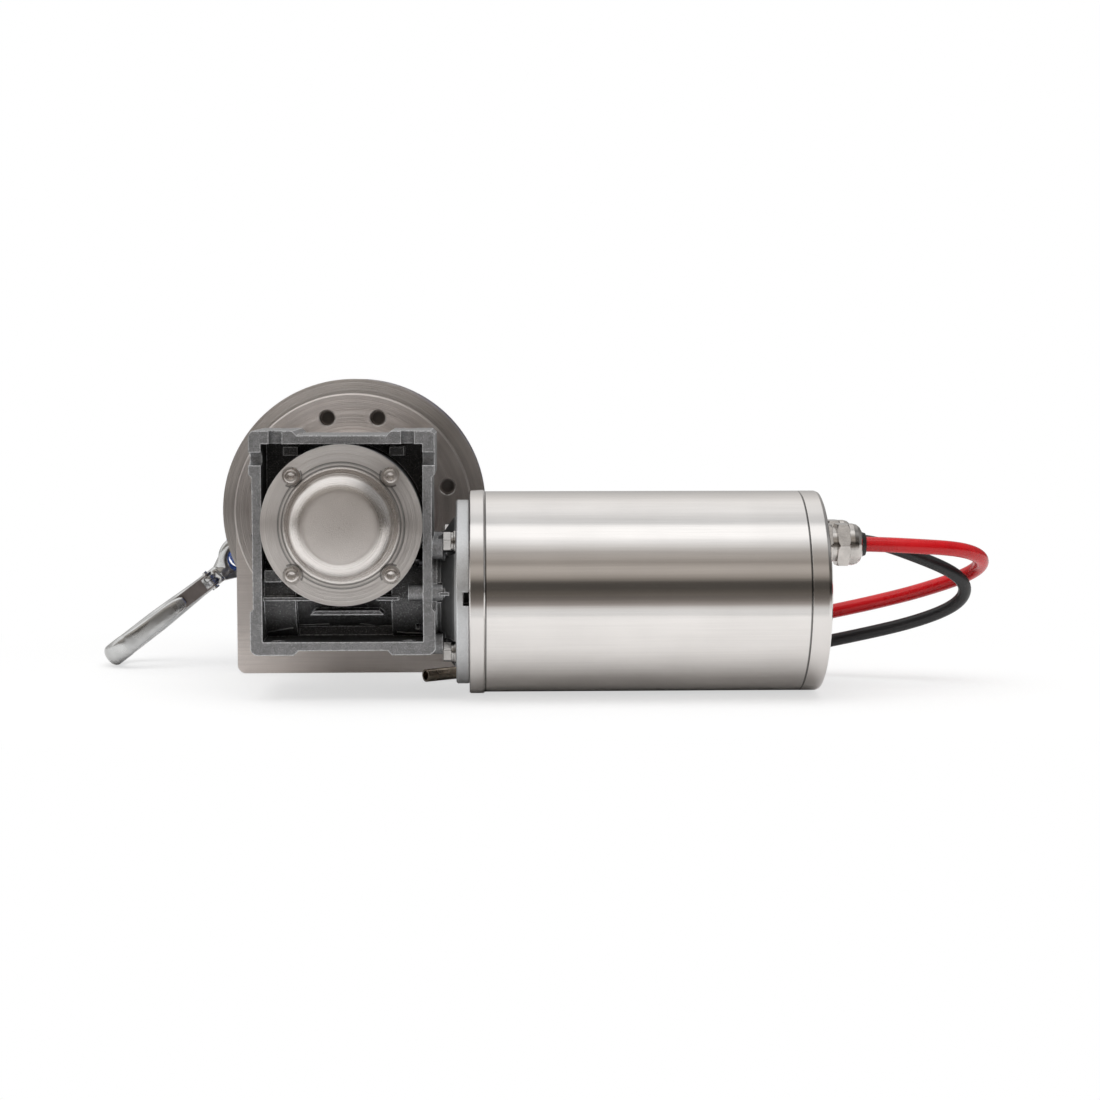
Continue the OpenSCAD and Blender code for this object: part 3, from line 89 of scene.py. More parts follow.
# ---------------------------------------------------------------- camera
def make_camera():
    """The photograph's viewpoint, fitted to the gearbox's outline."""
    cam = bpy.data.objects.new("camera", bpy.data.cameras.new("camera"))
    bpy.context.scene.collection.objects.link(cam)
    cam.location = (0.0709, -1.2786, 0.1745)
    cam.rotation_euler = (math.radians(90 - 4.67), 0, math.radians(-2.11))
    cam.data.sensor_width = 36
    cam.data.lens = 68.07
    cam.data.clip_start = 0.01
    bpy.context.scene.camera = cam


make_camera()


# ---------------------------------------------------------------- mesh helpers
def mesh_from(name, verts, faces, uvs=None):
    """A smooth mesh. uvs gives a pair for each corner of each face."""
    mesh = bpy.data.meshes.new(name)
    mesh.from_pydata([tuple(v) for v in verts], [], faces)
    if uvs:
        layer = mesh.uv_layers.new(name="run")
        for loop, uv in zip(layer.data, (uv for face in uvs for uv in face)):
            loop.uv = uv
    mesh.update()
    mesh.shade_smooth()
    return mesh


def new_object(name, geometry, body, mat, nodes=()):
    """An object that rides on a body, takes a finish and stands for CAD nodes.

    geometry holds the verts, the faces and, where the finish needs them, the uvs."""
    mesh = mesh_from(name, *geometry)
    obj = bpy.data.objects.new(name, mesh)
    bpy.context.scene.collection.objects.link(obj)
    mesh.materials.append(mat)
    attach(obj, body)
    for node in nodes:
        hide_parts(node)
    return obj


def catmull(points, step):
    """A smooth line through the points, with samples about step apart."""
    pts = [Vector(p) for p in points]
    ext = [2 * pts[0] - pts[1]] + pts + [2 * pts[-1] - pts[-2]]
    out = []
    for i in range(1, len(ext) - 2):
        a, b, c, d = ext[i - 1:i + 3]
        n = max(2, int((c - b).length / step))
        for k in range(n):
            t = k / n
            out.append(0.5 * (2 * b + (c - a) * t + (2 * a - 5 * b + 4 * c - d) * t * t
                              + (3 * b - a - 3 * c + d) * t ** 3))
    out.append(pts[-1])
    return out


def lengths(pts):
    """How far along the line each of its points lies."""
    out = [0.0]
    for a, b in zip(pts, pts[1:]):
        out.append(out[-1] + (b - a).length)
    return out


def sweep(pts, section, up, caps=True):
    """Verts, faces and uvs of a section swept along points.

    section(i, run) gives the outline there as (side, rise) pairs. The uvs are turns round and
    metres along."""
    n = len(pts)
    run = lengths(pts)
    verts, faces, uvs = [], [], []
    side = None
    for i, p in enumerate(pts):
        h = (pts[min(i + 1, n - 1)] - pts[max(i - 1, 0)]).normalized()
        side = h.cross(Vector(up)) if side is None else side - side.dot(h) * h
        side.normalize()
        rise = side.cross(h)
        outline = section(i, run[i])
        verts.extend(p + a * side + b * rise for a, b in outline)
    m = len(outline)
    for i in range(n - 1):
        here, there = i * m, (i + 1) * m
        for k in range(m):
            after = (k + 1) % m
            faces.append((here + k, there + k, there + after, here + after))
            u, w = k / m, (k + 1) / m
            uvs.append(((u, run[i]), (u, run[i + 1]), (w, run[i + 1]), (w, run[i])))
    if caps:
        faces += [tuple(range(m)), tuple((n - 1) * m + k for k in range(m))[::-1]]
        uvs += [((0, 0),) * m, ((0, run[-1]),) * m]
    return verts, faces, uvs


def circle(radius, sides):
    turns = [2 * math.pi * k / sides for k in range(sides)]
    return [(radius * math.cos(a), radius * math.sin(a)) for a in turns]


def rounded(a, b, power, sides):
    """An outline between an ellipse and a box, with half widths a and b."""
    out = []
    for k in range(sides):
        c, s = math.cos(2 * math.pi * k / sides), math.sin(2 * math.pi * k / sides)
        out.append((a * math.copysign(abs(c) ** (2 / power), c),
                    b * math.copysign(abs(s) ** (2 / power), s)))
    return out


def join(parts):
    """Several pieces' verts, faces and uvs as one."""
    verts, faces, uvs = [], [], []
    for part in parts:
        base = len(verts)
        verts.extend(part[0])
        faces.extend(tuple(base + i for i in face) for face in part[1])
        uvs.extend(part[2] if len(part) > 2 else [((0, 0),) * len(face) for face in part[1]])
    return verts, faces, uvs


def lathe(profile, place, sides):
    """A turned solid.

    profile gives (radius, height), or (half the width across flats, height, 6) for a hexagon."""
    verts, faces = [], []
    for row in profile:
        for k in range(sides):
            a = 2 * math.pi * k / sides
            r = row[0]
            if len(row) > 2:
                r = row[0] / math.cos((a % (math.pi / 3)) - math.pi / 6)
            verts.append(place @ Vector((r * math.cos(a), r * math.sin(a), row[1])))
    for i in range(len(profile) - 1):
        for k in range(sides):
            faces.append((i * sides + k, i * sides + (k + 1) % sides,
                          (i + 1) * sides + (k + 1) % sides, (i + 1) * sides + k))
    faces.append(tuple(range(sides))[::-1])
    faces.append(tuple((len(profile) - 1) * sides + k for k in range(sides)))
    return verts, faces


def aim(origin, direction):
    """A placement whose Z runs along direction."""
    turn = Vector(direction).to_track_quat("Z", "Y").to_matrix().to_4x4()
    return Matrix.Translation(origin) @ turn


def sharpen(obj, degrees):
    """Sharp along edges that turn by more than degrees, smooth elsewhere."""
    mesh = obj.data
    bm = bmesh.new()
    bm.from_mesh(mesh)
    for edge in bm.edges:
        if len(edge.link_faces) == 2 and edge.calc_face_angle() > math.radians(degrees):
            edge.smooth = False
    bm.to_mesh(mesh)
    bm.free()
    return obj


# ---------------------------------------------------------------- shader helpers
class Sock:
    """A shader value or vector that takes arithmetic."""

    def __init__(self, mat, socket):
        self.mat = mat
        self.socket = socket

    def math(self, op, *values):
        return self.mat.node("Math", {"operation": op}, dict(enumerate(values)))

    def __add__(self, o):
        return self.math("ADD", self, o)

    __radd__ = __add__

    def __mul__(self, o):
        return self.math("MULTIPLY", self, o)

    __rmul__ = __mul__

    def __sub__(self, o):
        return self.math("SUBTRACT", self, o)

    def __rsub__(self, o):
        return self.math("SUBTRACT", o, self)

    def __truediv__(self, o):
        return self.math("DIVIDE", self, o)

    def __pow__(self, o):
        return self.math("POWER", self, o)

    def __gt__(self, o):
        return self.math("GREATER_THAN", self, o)

    def __lt__(self, o):
        return self.math("LESS_THAN", self, o)

    def __abs__(self):
        return self.math("ABSOLUTE", self)

    def sin(self):
        return self.math("SINE", self)

    def cos(self):
        return self.math("COSINE", self)

    def atan2(self, o):
        return self.math("ARCTAN2", self, o)

    def wrap(self, o):
        return self.math("FLOORED_MODULO", self, o)

    def max(self, o):
        return self.math("MAXIMUM", self, o)


class Nodes:
    """One node tree with short ways to add nodes to it."""

    def __init__(self, tree):
        self.tree = tree

    def node(self, kind, settings=None, sockets=None, out=0):
        n = self.tree.nodes.new("ShaderNode" + kind)
        for key, value in (settings or {}).items():
            if key == "stops":
                ramp = n.color_ramp
                while len(ramp.elements) < len(value):
                    ramp.elements.new(0.5)
                for element, (pos, col) in zip(ramp.elements, value):
                    element.position = pos
                    element.color = (*col, 1) if isinstance(col, tuple) else (col, col, col, 1)
            else:
                setattr(n, key, value)
        for key, value in (sockets or {}).items():
            if isinstance(value, Sock):
                self.tree.links.new(value.socket, n.inputs[key])
            else:
                n.inputs[key].default_value = value
        return Sock(self, n.outputs[out])

    def link(self, value, node, socket):
        self.tree.links.new(value.socket, node.inputs[socket])

    def coords(self):
        return self.node("TexCoord", out="Object")

    def xyz(self, vec):
        n = self.node("SeparateXYZ", sockets={0: vec}).socket.node
        return [Sock(self, n.outputs[i]) for i in range(3)]

    def vec(self, x, y, z):
        return self.node("CombineXYZ", sockets={0: x, 1: y, 2: z})

    def noise(self, vec, scale, detail, rough, dims="3D"):
        return self.node("TexNoise", {"noise_dimensions": dims},
                         {"Vector" if dims == "3D" else "W": vec, "Scale": scale, "Detail": detail,
                          "Roughness": rough})

    def ramp(self, fac, *stops):
        return self.node("ValToRGB", {"stops": stops}, {0: fac})

    def mix(self, fac, a, b, blend="MIX"):
        a = (*a, 1) if isinstance(a, tuple) and len(a) == 3 else a
        b = (*b, 1) if isinstance(b, tuple) and len(b) == 3 else b
        return self.node("Mix", {"data_type": "RGBA", "blend_type": blend},
                         {0: fac, 6: a, 7: b}, out=2)

    def tint(self, tone, shade):
        """A colour times a value."""
        return self.mix(1.0, tone, self.vec(shade, shade, shade), "MULTIPLY")

    def step(self, value, low, high, to_low=0.0, to_high=1.0):
        """From to_low to to_high, softly, as value goes from low to high."""
        return self.node("MapRange", {"interpolation_type": "SMOOTHSTEP"},
                         {0: value, 1: low, 2: high, 3: to_low, 4: to_high})

    def stretch(self, vec, sx, sy, sz):
        return self.node("Mapping", {"vector_type": "POINT"}, {0: vec, 3: (sx, sy, sz)})

    def edge(self, radius, low=0.015, high=0.12):
        """1 along convex and concave edges, 0 on flats."""
        soft = self.node("Bevel", {"samples": 6}, {"Radius": radius})
        true = self.node("NewGeometry", out="True Normal")
        dot = self.node("VectorMath", {"operation": "DOT_PRODUCT"}, {0: soft, 1: true}, out="Value")
        return self.step(1 - dot, low, high)


class Material(Nodes):
    """A material with one principled shader, whose constants are given by name."""

    def __init__(self, name, **constants):
        self.mat = bpy.data.materials.new(name)
        self.mat.use_nodes = True
        super().__init__(self.mat.node_tree)
        self.bsdf = self.tree.nodes["Principled BSDF"]
        for key, value in constants.items():
            self.bsdf.inputs[key.replace("_", " ")].default_value = value

    def set(self, **links):
        for key, value in links.items():
            self.link(value, self.bsdf, key.replace("_", " "))

    def bump(self, height, distance, radius):
        """Bump over edges that are softly rounded to radius."""
        sockets = {"Height": height, "Distance": distance, "Strength": 1.0}
        if radius:
            sockets["Normal"] = self.node("Bevel", {"samples": 4}, {"Radius": radius})
        self.set(Normal=self.node("Bump", {}, sockets))


# ---------------------------------------------------------------- materials
def from_ring(x, z, ring, count):
    """Distance from the nearest of count points spread evenly on a circle of radius ring."""
    r = (x * x + z * z) ** 0.5
    pitch = 2 * math.pi / count
    off = z.atan2(x).wrap(pitch) - pitch / 2
    return (r * r + ring ** 2 - r * off.cos() * (2 * ring)).max(0.0) ** 0.5


def steel(name, tone, rough, streak, amount, grain=0.00003, holes=False, seams=()):
    """Stainless steel with streaks.

    streak gives the noise scale along x, y and z, and seams the x of dark joints. holes paints
    shade into the bottoms of the disc's holes and paints the floor's light onto the plate's foot."""
    m = Material(name, Metallic=1.0)
    p = m.coords()
    x, y, z = m.xyz(p)
    lines = m.noise(m.stretch(p, *streak), 1.0, 4, 0.6)
    cloud = m.noise(p, 28.0, 3, 0.5)
    spots = m.noise(p, 900.0, 2, 0.5)
    shade = m.step(lines * 0.6 + cloud * 0.4, 0.3, 0.7, 1 - amount, 1.0)
    if holes:
        # painted shade in the bottoms of the disc's holes, on this plate's front
        away = from_ring(x, z - AXIS_Z, HOLE_RING, HOLES)
        behind = m.step(y, PLATE_FACE, PLATE_FACE + 0.0002)
        shade = shade * m.step(away, HOLE_R * 0.7, HOLE_R * 1.02, 0.35, 1.0).max(behind)
        # painted light: the floor's reflected light brightens the foot
        shade = shade * m.step(z, 0.004, 0.034, 1.35, 1.0)
    for seam in seams:
        # the tube meets a ring
        shade = shade * m.step(abs(x - seam), 0.0003, 0.0008, 0.12, 1.0)
    warm = m.mix(cloud, tuple(c * 0.96 for c in tone), tone)
    worn, bare = m.edge(0.0006) * 0.5, (0.86, 0.84, 0.82)
    m.set(Base_Color=m.mix(worn, m.tint(warm, shade), bare),
          Roughness=m.step(lines * 0.5 + spots * 0.5, 0.2, 0.8, rough * 0.85, rough * 1.2))
    m.bump(lines, grain, 0.0005)
    return m.mat


def turned(name, tone, rough, centre, depth, axis="y", amount=0.2, holes=False, smooth=None,
           grooves=(), painted_fans=None):
    """Turned metal: fine rings round an axis through centre.

    smooth gives two radii: inside the first the metal is blasted, and up to the second it is
    polished. grooves gives the radii of two grooves, which are darkened with painted shade.
    painted_fans gives the painted highlight's shade beside the axis and above it. holes paints
    shade inside the holes and a highlight round their rims."""
    m = Material(name, Metallic=1.0)
    p = m.coords()
    x, y, z = m.xyz(p)
    a, b = (x if axis == "y" else y) - centre[0], z - centre[1]
    r = (a * a + b * b) ** 0.5
    rings = m.noise(r, 2600.0, 3, 0.7, "1D")
    wide = m.noise(r, 260.0, 2, 0.5, "1D")
    cloud = m.noise(p, 35.0, 3, 0.5)
    fine = m.noise(p, 2400.0, 2, 0.6)
    shade = m.step(rings * 0.35 + wide * 0.35 + cloud * 0.3, 0.3, 0.7, 1 - amount, 1.0)
    if grooves:
        # painted shade darkens both grooves, and the outer groove bends round each screw
        screw = from_ring(a, b, SCREW_RING, SCREWS)
        free = m.step(screw, SCREW_DENT - 0.0002, SCREW_DENT + 0.0002)
        shade = shade * m.step(abs(r - grooves[0]), 0.0002, 0.0007, 0.45, 1.0)
        shade = shade * (1 - (1 - m.step(abs(r - grooves[1]), 0.0002, 0.0008)) * free * 0.6)
        notch = (1 - m.step(abs(screw - SCREW_DENT), 0.0002, 0.0008)) * (r < 0.0366)
        shade = shade * (1 - notch * 0.6)
    if painted_fans:
        # painted highlight: the turned face is painted lighter above the axis and darker beside it
        upright = (b * b) / (r * r + 1e-6)
        shade = shade * (upright * (painted_fans[1] - painted_fans[0]) + painted_fans[0])
    height, gloss = rings, 1.0
    if smooth:
        top = 1 - m.step(r, smooth[0] - 0.0030, smooth[0] + 0.0030)
        blasted = m.step(cloud * 0.5 + fine * 0.5, 0.3, 0.7, 1.00, 1.12)
        shade = shade * (1 - top) + blasted * top
        shoulder = (1 - top) * (1 - m.step(r, smooth[1] - 0.0004, smooth[1] + 0.0004))
        height = rings * (1 - top - shoulder * 0.80) + fine * top * 0.25
        gloss = 1 - shoulder * 0.36
    light, bare = m.edge(0.0006) * 0.55, (0.88, 0.86, 0.84)
    if holes:
        # painted shade inside the holes, with a painted highlight round their rim
        away = from_ring(a, b, HOLE_RING, HOLES)
        inside = 1 - m.step(away, HOLE_R * 0.98, HOLE_R * 1.06)
        inside = inside * m.step(y, DISC_FACE, DISC_FACE + 0.001)
        colour = m.mix(inside, m.tint(tone, shade * (1 - inside * 0.4)), (0.20, 0.13, 0.12))
        light = light.max((1 - m.step(abs(away - HOLE_R * 1.07), 0.0001, 0.0005)) * 0.75)
    else:
        colour = m.tint(tone, shade)
    grain = m.step(rings * 0.4 + cloud * 0.3 + fine * 0.3, 0.3, 0.7, rough * 0.85, rough * 1.2)
    m.set(Base_Color=m.mix(light, colour, bare), Roughness=grain * gloss)
    m.bump(height, depth, 0.0005)
    return m.mat


def cast(name, tone, rough, metal, depth, pocket=False, cone=False):
    """Blasted die-cast aluminium, granular with bright specks and bright worn edges."""
    m = Material(name, Metallic=metal)
    p = m.coords()
    x, y, z = m.xyz(p)
    grain = m.noise(p, 1500.0, 2, 0.6)
    coarse = m.noise(p, 420.0, 3, 0.6)
    cloud = m.noise(p, 30.0, 3, 0.5)
    speck = m.step(m.noise(p, 2300.0, 1, 0.4), 0.62, 0.72)
    low, high = (0.80, 0.98) if cone else (0.55, 1.25)
    shade = m.step(grain * 0.5 + coarse * 0.35 + cloud * 0.15, 0.32, 0.68, low, high)
    if pocket:
        # painted shade darkens the window behind the housing's front face
        front, floor, back = -0.1555, -0.1515, -0.0852
        half, up, down = 0.0438, 0.0436, 0.0640
        inside = (abs(x) < half) * (z < AXIS_Z + up) * (z > AXIS_Z - down) * (y < back)
        shade = shade * (1 - m.step(y, front, floor) * inside * 0.60)
    if cone:
        # the adaptor's cone is raw and much darker, only its rim is blasted, and painted shade
        # blackens the rim's notch
        rim_x, rim_r = 0.0600, 0.0500
        y, z = y - GEAR_Y, z - MOTOR_Z
        r = (y * y + z * z) ** 0.5
        shade = shade * m.step(x, rim_x, rim_x + 0.0008, 0.20, 1.0)
        behind = m.step(x, rim_x + 0.0008, rim_x + 0.0012, 1.0, 0.0)
        shade = shade * m.step(r, rim_r, rim_r + 0.0007, 0.04, 1.0).max(behind)
    worn = m.edge(0.0010, 0.006, 0.07)
    light, bare = (speck * (0.08 if cone else 0.45)).max(worn * 0.95), (0.84, 0.85, 0.87)
    m.set(Base_Color=m.mix(light, m.tint(tone, shade), bare),
          Roughness=m.step(coarse, 0.3, 0.7, rough * 0.85, rough * 1.2) * (1 - worn * 0.45))
    m.bump(grain * 0.6 + coarse * 0.4, depth, 0.0008)
    return m.mat


def bright(name, tone, rough, amount=0.12, radius=0.0003, dents=0.00003, edge_wear_and_shade=0.4, width=0.0003,
           stain=160.0, detail=4):
    """Plated or polished metal with faint stains and tiny dents.

    edge_wear_and_shade lightens the edges where they are worn, and where it is negative darkens
    them with painted shade."""
    m = Material(name, Metallic=1.0)
    p = m.coords()
    cloud = m.noise(p, stain, detail, 0.6)
    dent = m.noise(p, 520.0, 2, 0.5)
    colour = m.tint(tone, m.step(cloud, 0.35, 0.7, 1.0, 1 - amount))
    if edge_wear_and_shade:
        # bare metal on worn edges; painted shade along the edges where the setting is negative
        bare, edge_shade = (0.9, 0.89, 0.88), (0.03, 0.03, 0.03)
        colour = m.mix(m.edge(width) * abs(edge_wear_and_shade), colour, bare if edge_wear_and_shade > 0 else edge_shade)
    m.set(Base_Color=colour, Roughness=m.step(cloud, 0.3, 0.7, rough * 0.8, rough * 1.5))
    m.bump(dent, dents, radius)
    return m.mat


def plastic(name, tone, rough, scale=700.0, depth=0.00004, coat=0.0, level=0.5):
    """Moulded or extruded plastic, rubber, carbon or twine. scale is its fine grain's."""
    m = Material(name, Coat_Weight=coat, Coat_Roughness=0.08, Specular_IOR_Level=level)
    p = m.coords()
    fine = m.noise(p, scale, 3, 0.6)
    cloud = m.noise(p, 60.0, 3, 0.5)
    m.set(Base_Color=m.tint(tone, m.step(cloud, 0.3, 0.7, 0.88, 1.05)),
          Roughness=m.step(fine * 0.5 + cloud * 0.5, 0.3, 0.7, rough * 0.85, rough * 1.15))
    m.bump(fine, depth, 0.0003)
    return m.mat


def rope_material(name, tone):
    """Braided polyester: two sets of strands crossing, each strand with its own fibres."""
    m = Material(name, Sheen_Weight=0.2, Sheen_Roughness=0.4)
    u, v, _ = m.xyz(m.node("UVMap", {"uv_map": "run"}))
    one = u * (math.pi * STRANDS) + v * (math.pi * STRANDS / PITCH)
    two = u * (math.pi * STRANDS) - v * (math.pi * STRANDS / PITCH)
    crown = (abs(one.sin()) * abs(two.sin())) ** 0.5
    over = m.step(one.sin() * two.sin(), -0.1, 0.1)
    # the fibres follow the strand that lies on top
    fibres = m.noise(m.vec(u * 60.0 + v * 900.0 * over, v * 700.0, u * 20.0), 1.0, 3, 0.6)
    fuzz = m.noise(m.coords(), 2600.0, 2, 0.6)
    # painted shade darkens the valleys between the strands
    dark = tuple(c * 0.22 for c in tone)
    pale = tuple(min(1, c * 1.5 + 0.03) for c in tone)
    strand = m.mix(m.step(fibres, 0.35, 0.75), tone, pale)
    m.set(Base_Color=m.mix(m.step(crown, 0.15, 0.75), dark, strand),
          Roughness=m.step(fuzz, 0.3, 0.7, 0.42, 0.62))
    m.bump(crown + fibres * 0.12 + fuzz * 0.06, 0.0005, 0.0001)
    return m.mat


def strand_copper(name):
    """Tarnished copper of the fine strands in the ferrules, painted darker still for the shade deep
    in the bores.
    """
    m = Material(name, Metallic=1.0)
    p = m.coords()
    cloud = m.noise(p, 700.0, 3, 0.6)
    m.set(Base_Color=m.mix(cloud, (0.05, 0.03, 0.02), (0.20, 0.12, 0.08)),
          Roughness=m.step(cloud, 0.3, 0.7, 0.35, 0.6))
    m.bump(cloud, 0.00004, 0.0001)
    return m.mat


ROLLED = {"tone": (0.70, 0.65, 0.62), "streak": (20, 20, 900), "amount": 0.15, "grain": 0.00012}
TUBE_ENDS = (0.0771, 0.2524)

mats = {
    "plate": steel("stainless_plate", rough=0.44, **ROLLED),
    "platenear": steel("stainless_side_plate", rough=0.46, holes=True, **ROLLED),
    "disc": turned("turned_disc", (0.72, 0.67, 0.64), 0.38, (0, AXIS_Z), 0.00060, holes=True,
                   painted_fans=(0.78, 1.3)),
    "drumdisc": turned("turned_drum", (0.68, 0.64, 0.61), 0.38, (0, AXIS_Z), 0.00055,
                       painted_fans=(0.8, 1.25)),
    "cover": turned("turned_cover", (0.88, 0.84, 0.81), 0.38, (0, AXIS_Z), 0.00065,
                    smooth=(0.0200, 0.0313), grooves=(0.0318, 0.0338)),
    "ring": turned("turned_bracket", (0.78, 0.755, 0.735), 0.12, (GEAR_Y, MOTOR_Z), 0.000008,
                   axis="x", amount=0.10),
    "tube": steel("drawn_tube", (0.80, 0.775, 0.755), 0.10, (14, 900, 900), amount=0.08,
                  grain=0.000006, seams=TUBE_ENDS),
    "latch": steel("spring_plate", (0.27, 0.24, 0.23), 0.38, (200, 200, 200), amount=0.2),
    "cast": cast("cast_aluminium", (0.28, 0.28, 0.285), 0.5, 0.6, 0.00030, pocket=True),
    "castlight": cast("cast_adaptor", (0.70, 0.71, 0.72), 0.42, 0.75, 0.00005, cone=True),
    "machined": bright("machined_steel", (0.55, 0.55, 0.56), 0.28),
    "dark": bright("dark_steel", (0.10, 0.10, 0.11), 0.4),
    "nickel": bright("nickel_plate", (0.62, 0.59, 0.56), 0.14, amount=0.2, edge_wear_and_shade=-0.45),
    "bolt": bright("plated_bolt", (0.46, 0.445, 0.43), 0.18, edge_wear_and_shade=-0.95, width=0.0007),
    "galv": bright("galvanised_thimble", (0.50, 0.51, 0.52), 0.34, amount=0.3, dents=0.00006),
    "weld": bright("weld_bead", (0.50, 0.46, 0.42), 0.3, amount=0.3),
    "screw": bright("stainless_screw", (0.80, 0.76, 0.73), 0.24),
    "zinc": bright("zinc_hook", (0.64, 0.645, 0.64), 0.24, amount=0.25, radius=0, dents=0.000004,
                   edge_wear_and_shade=0, stain=70.0, detail=1),
    "bronze": bright("bronze", (0.68, 0.45, 0.20), 0.3),
    "copper": bright("copper", (0.72, 0.38, 0.22), 0.35),
    "tin": bright("tinned_copper", (0.42, 0.36, 0.29), 0.22, amount=0.35),
    "strands": strand_copper("copper_strands"),
    "carbon": plastic("carbon", (0.03, 0.03, 0.03), 0.6),
    "magnet": plastic("ferrite", (0.04, 0.04, 0.045), 0.5),
    "rubber": plastic("seal_rubber", (0.012, 0.012, 0.012), 0.5),
    "red": plastic("red_lead", (0.52, 0.002, 0.006), 0.28, scale=260.0, depth=0.000008, coat=0.15,
                   level=0.4),
    "black": plastic("black_lead", (0.008, 0.008, 0.009), 0.40, scale=420.0, depth=0.00005,
                     coat=0.1),
    "blue": rope_material("blue_rope", (0.004, 0.11, 0.60)),
    "twine": plastic("blue_twine", (0.004, 0.08, 0.42), 0.5, scale=2400.0, depth=0.0001),
}

NODE_MATERIALS = {
    "plate": "base_plate side_plate_far drum_barrel",
    "platenear": "side_plate_near",
    "disc": "output_flange",
    "drumdisc": "drum_flange_near drum_flange_far far_bearing_housing",
    "cover": "shaft_end_cover",
    "tube": "motor_tube",
    "ring": "motor_bracket motor_end_cap",
    "cast": "gearbox_housing bearing_cover",
    "castlight": "motor_adaptor",
    "weld": "corner_welds",
    "machined": "output_bearing_outers output_bearing_inners output_shaft worm_shaft "
                "worm_bearing_outers worm_bearing_inners shaft_end_washer motor_shaft "
                "motor_bearing_outers motor_bearing_inners drum_shaft shaft_keys "
                "far_bearing_outer far_bearing_inner latch_spring",
    "dark": "adaptor_screws flange_gear_screws shaft_circlip",
    "nickel": "gland_bodies gland_nuts",
    "bolt": "adaptor_bolts",
    "screw": "cover_screws flange_plate_screws housing_screws",
    "zinc": "rope_thimble hook_eye snap_hook latch_pin",
    "latch": "hook_latch",
    "bronze": "worm_wheel",
    "copper": "armature",
    "tin": "lead_ferrules",
    "carbon": "motor_brushes",
    "magnet": "motor_magnets",
    "rubber": "output_seals input_seal worm_end_cap gland_seals",
    "red": "red_lead",
    "black": "black_lead",
    "blue": "rope_coil rope_tail rope_eye",
}
for key, names in NODE_MATERIALS.items():
    for name in names.split():
        node = frame["nodes"][name]
        if not node.material_slots:
            node.data.materials.append(mats[key])
        for s in node.material_slots:
            s.material = mats[key]


def body_of(node):
    """The body that a CAD node is on."""
    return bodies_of(frame["nodes"][node])[0]


# ---------------------------------------------------------------- leads
# Points on the leads' middle lines, in mm
RED = [
    (287.7, -135.5, 83.75), (297, -135.4, 83.6),
    (307, -134.9, 83.1), (317, -133.9, 82.4), (327, -131.8, 81.7), (337, -128.5, 80.9),
    (347, -123.4, 79.2), (356, -115.9, 76.1), (361.6, -107.5, 72), (362, -98, 67.3),
    (357.5, -90.5, 62.9), (350, -84.6, 58.8), (340, -78.6, 54.6), (328, -72.8, 50),
    (315, -68.6, 46.2), (301, -64.4, 42.3), (287, -60.4, 38.8), (273, -57.2, 35.4),
    (259, -54.4, 30.6), (245, -52, 24.4), (231, -49.8, 17.6), (217, -47.8, 11.4),
    (203, -46.2, 6.8), (189, -45.2, 4.5), (175, -44.8, 4.1), (160, -44.8, 4.1), (145, -45, 4.1)]
BLACK = [
    (287.7, -105.5, 83.75), (296, -105.7, 83.2),
    (304, -106.2, 81.4), (311, -106.9, 79), (319, -107.7, 75.8), (329, -108.4, 72.2),
    (338, -108.6, 68.5), (346, -107.6, 64.5), (352.4, -104.6, 59.8), (355.4, -100.1, 54),
    (353.6, -95.4, 48.8), (348.2, -91, 43.8), (340, -86.6, 39.2), (329, -81.7, 34.6),
    (317, -77.4, 30.6), (303.5, -72.5, 26.9), (291, -68, 23.4), (278, -63, 20.2),
    (264, -59.2, 15.8), (250, -57, 11.2), (236, -55.6, 7.4), (222, -54.8, 4.8),
    (208, -54.4, 3.9), (194, -54.2, 3.8), (179, -54, 3.8), (164, -54, 3.8),
    (149, -54, 3.8), (134, -54, 3.8), (120, -54, 3.8), (107, -54.2, 3.8),
    (95, -54.8, 3.8), (84, -56.4, 3.8), (74, -60, 3.8), (67, -64, 3.8), (61, -68.2, 3.8)]
# How far a lead reaches back inside its seal
SEAL_IN = 0.012


def copper_strands(pts):
    """Fine strands in rings past the end of a lead, cut a little unevenly."""
    h = (pts[-1] - pts[-2]).normalized()
    side = h.cross(Vector((0, 0, 1))).normalized()
    rise = side.cross(h)
    section = circle(0.00033, 8)
    pitch, begin, reach, uneven = 0.00068, 0.009, 0.0112, 0.0005
    rand = random.Random(7)
    strands = []
    for ring in range(5):
        off, count = ring * pitch, max(1, ring * 6)
        for k in range(count):
            a = 2 * math.pi * k / count
            start = pts[-1] + h * begin + side * off * math.cos(a) + rise * off * math.sin(a)
            end = start + h * (reach + rand.uniform(-uneven, uneven))
            strands.append(sweep([start, end], lambda i, run: section, (0, 0, 1)))
    return strands


def lead(name, route, diameter, mat, node):
    """A round lead from inside its seal to its ferrule, with copper strands in the ferrule."""
    pts = catmull([Vector(p) * MM for p in route], 0.002)
    for _ in range(30):
        # the jacket evens the bends out
        evened = [(a + 2 * b + c) / 4 for a, b, c in zip(pts[1:], pts[2:], pts[3:])]
        pts = [pts[0], pts[1], *evened, pts[-1]]
    line = [pts[0] - Vector((SEAL_IN * k / 4, 0, 0)) for k in (4, 3, 2, 1)] + pts
    section = circle(diameter / 2, 28)
    obj = new_object(name, sweep(line, lambda i, run: section, (0, 0, 1)), "frame", mat,
                     [node])
    strands = new_object(name + "_strands", join(copper_strands(pts)), "frame",
                         mats["strands"])
    round(lengths(line)[-1], 3)


lead("red_lead_round", RED, 0.0084, mats["red"], "red_lead")
lead("black_lead_round", BLACK, 0.0074, mats["black"], "black_lead")


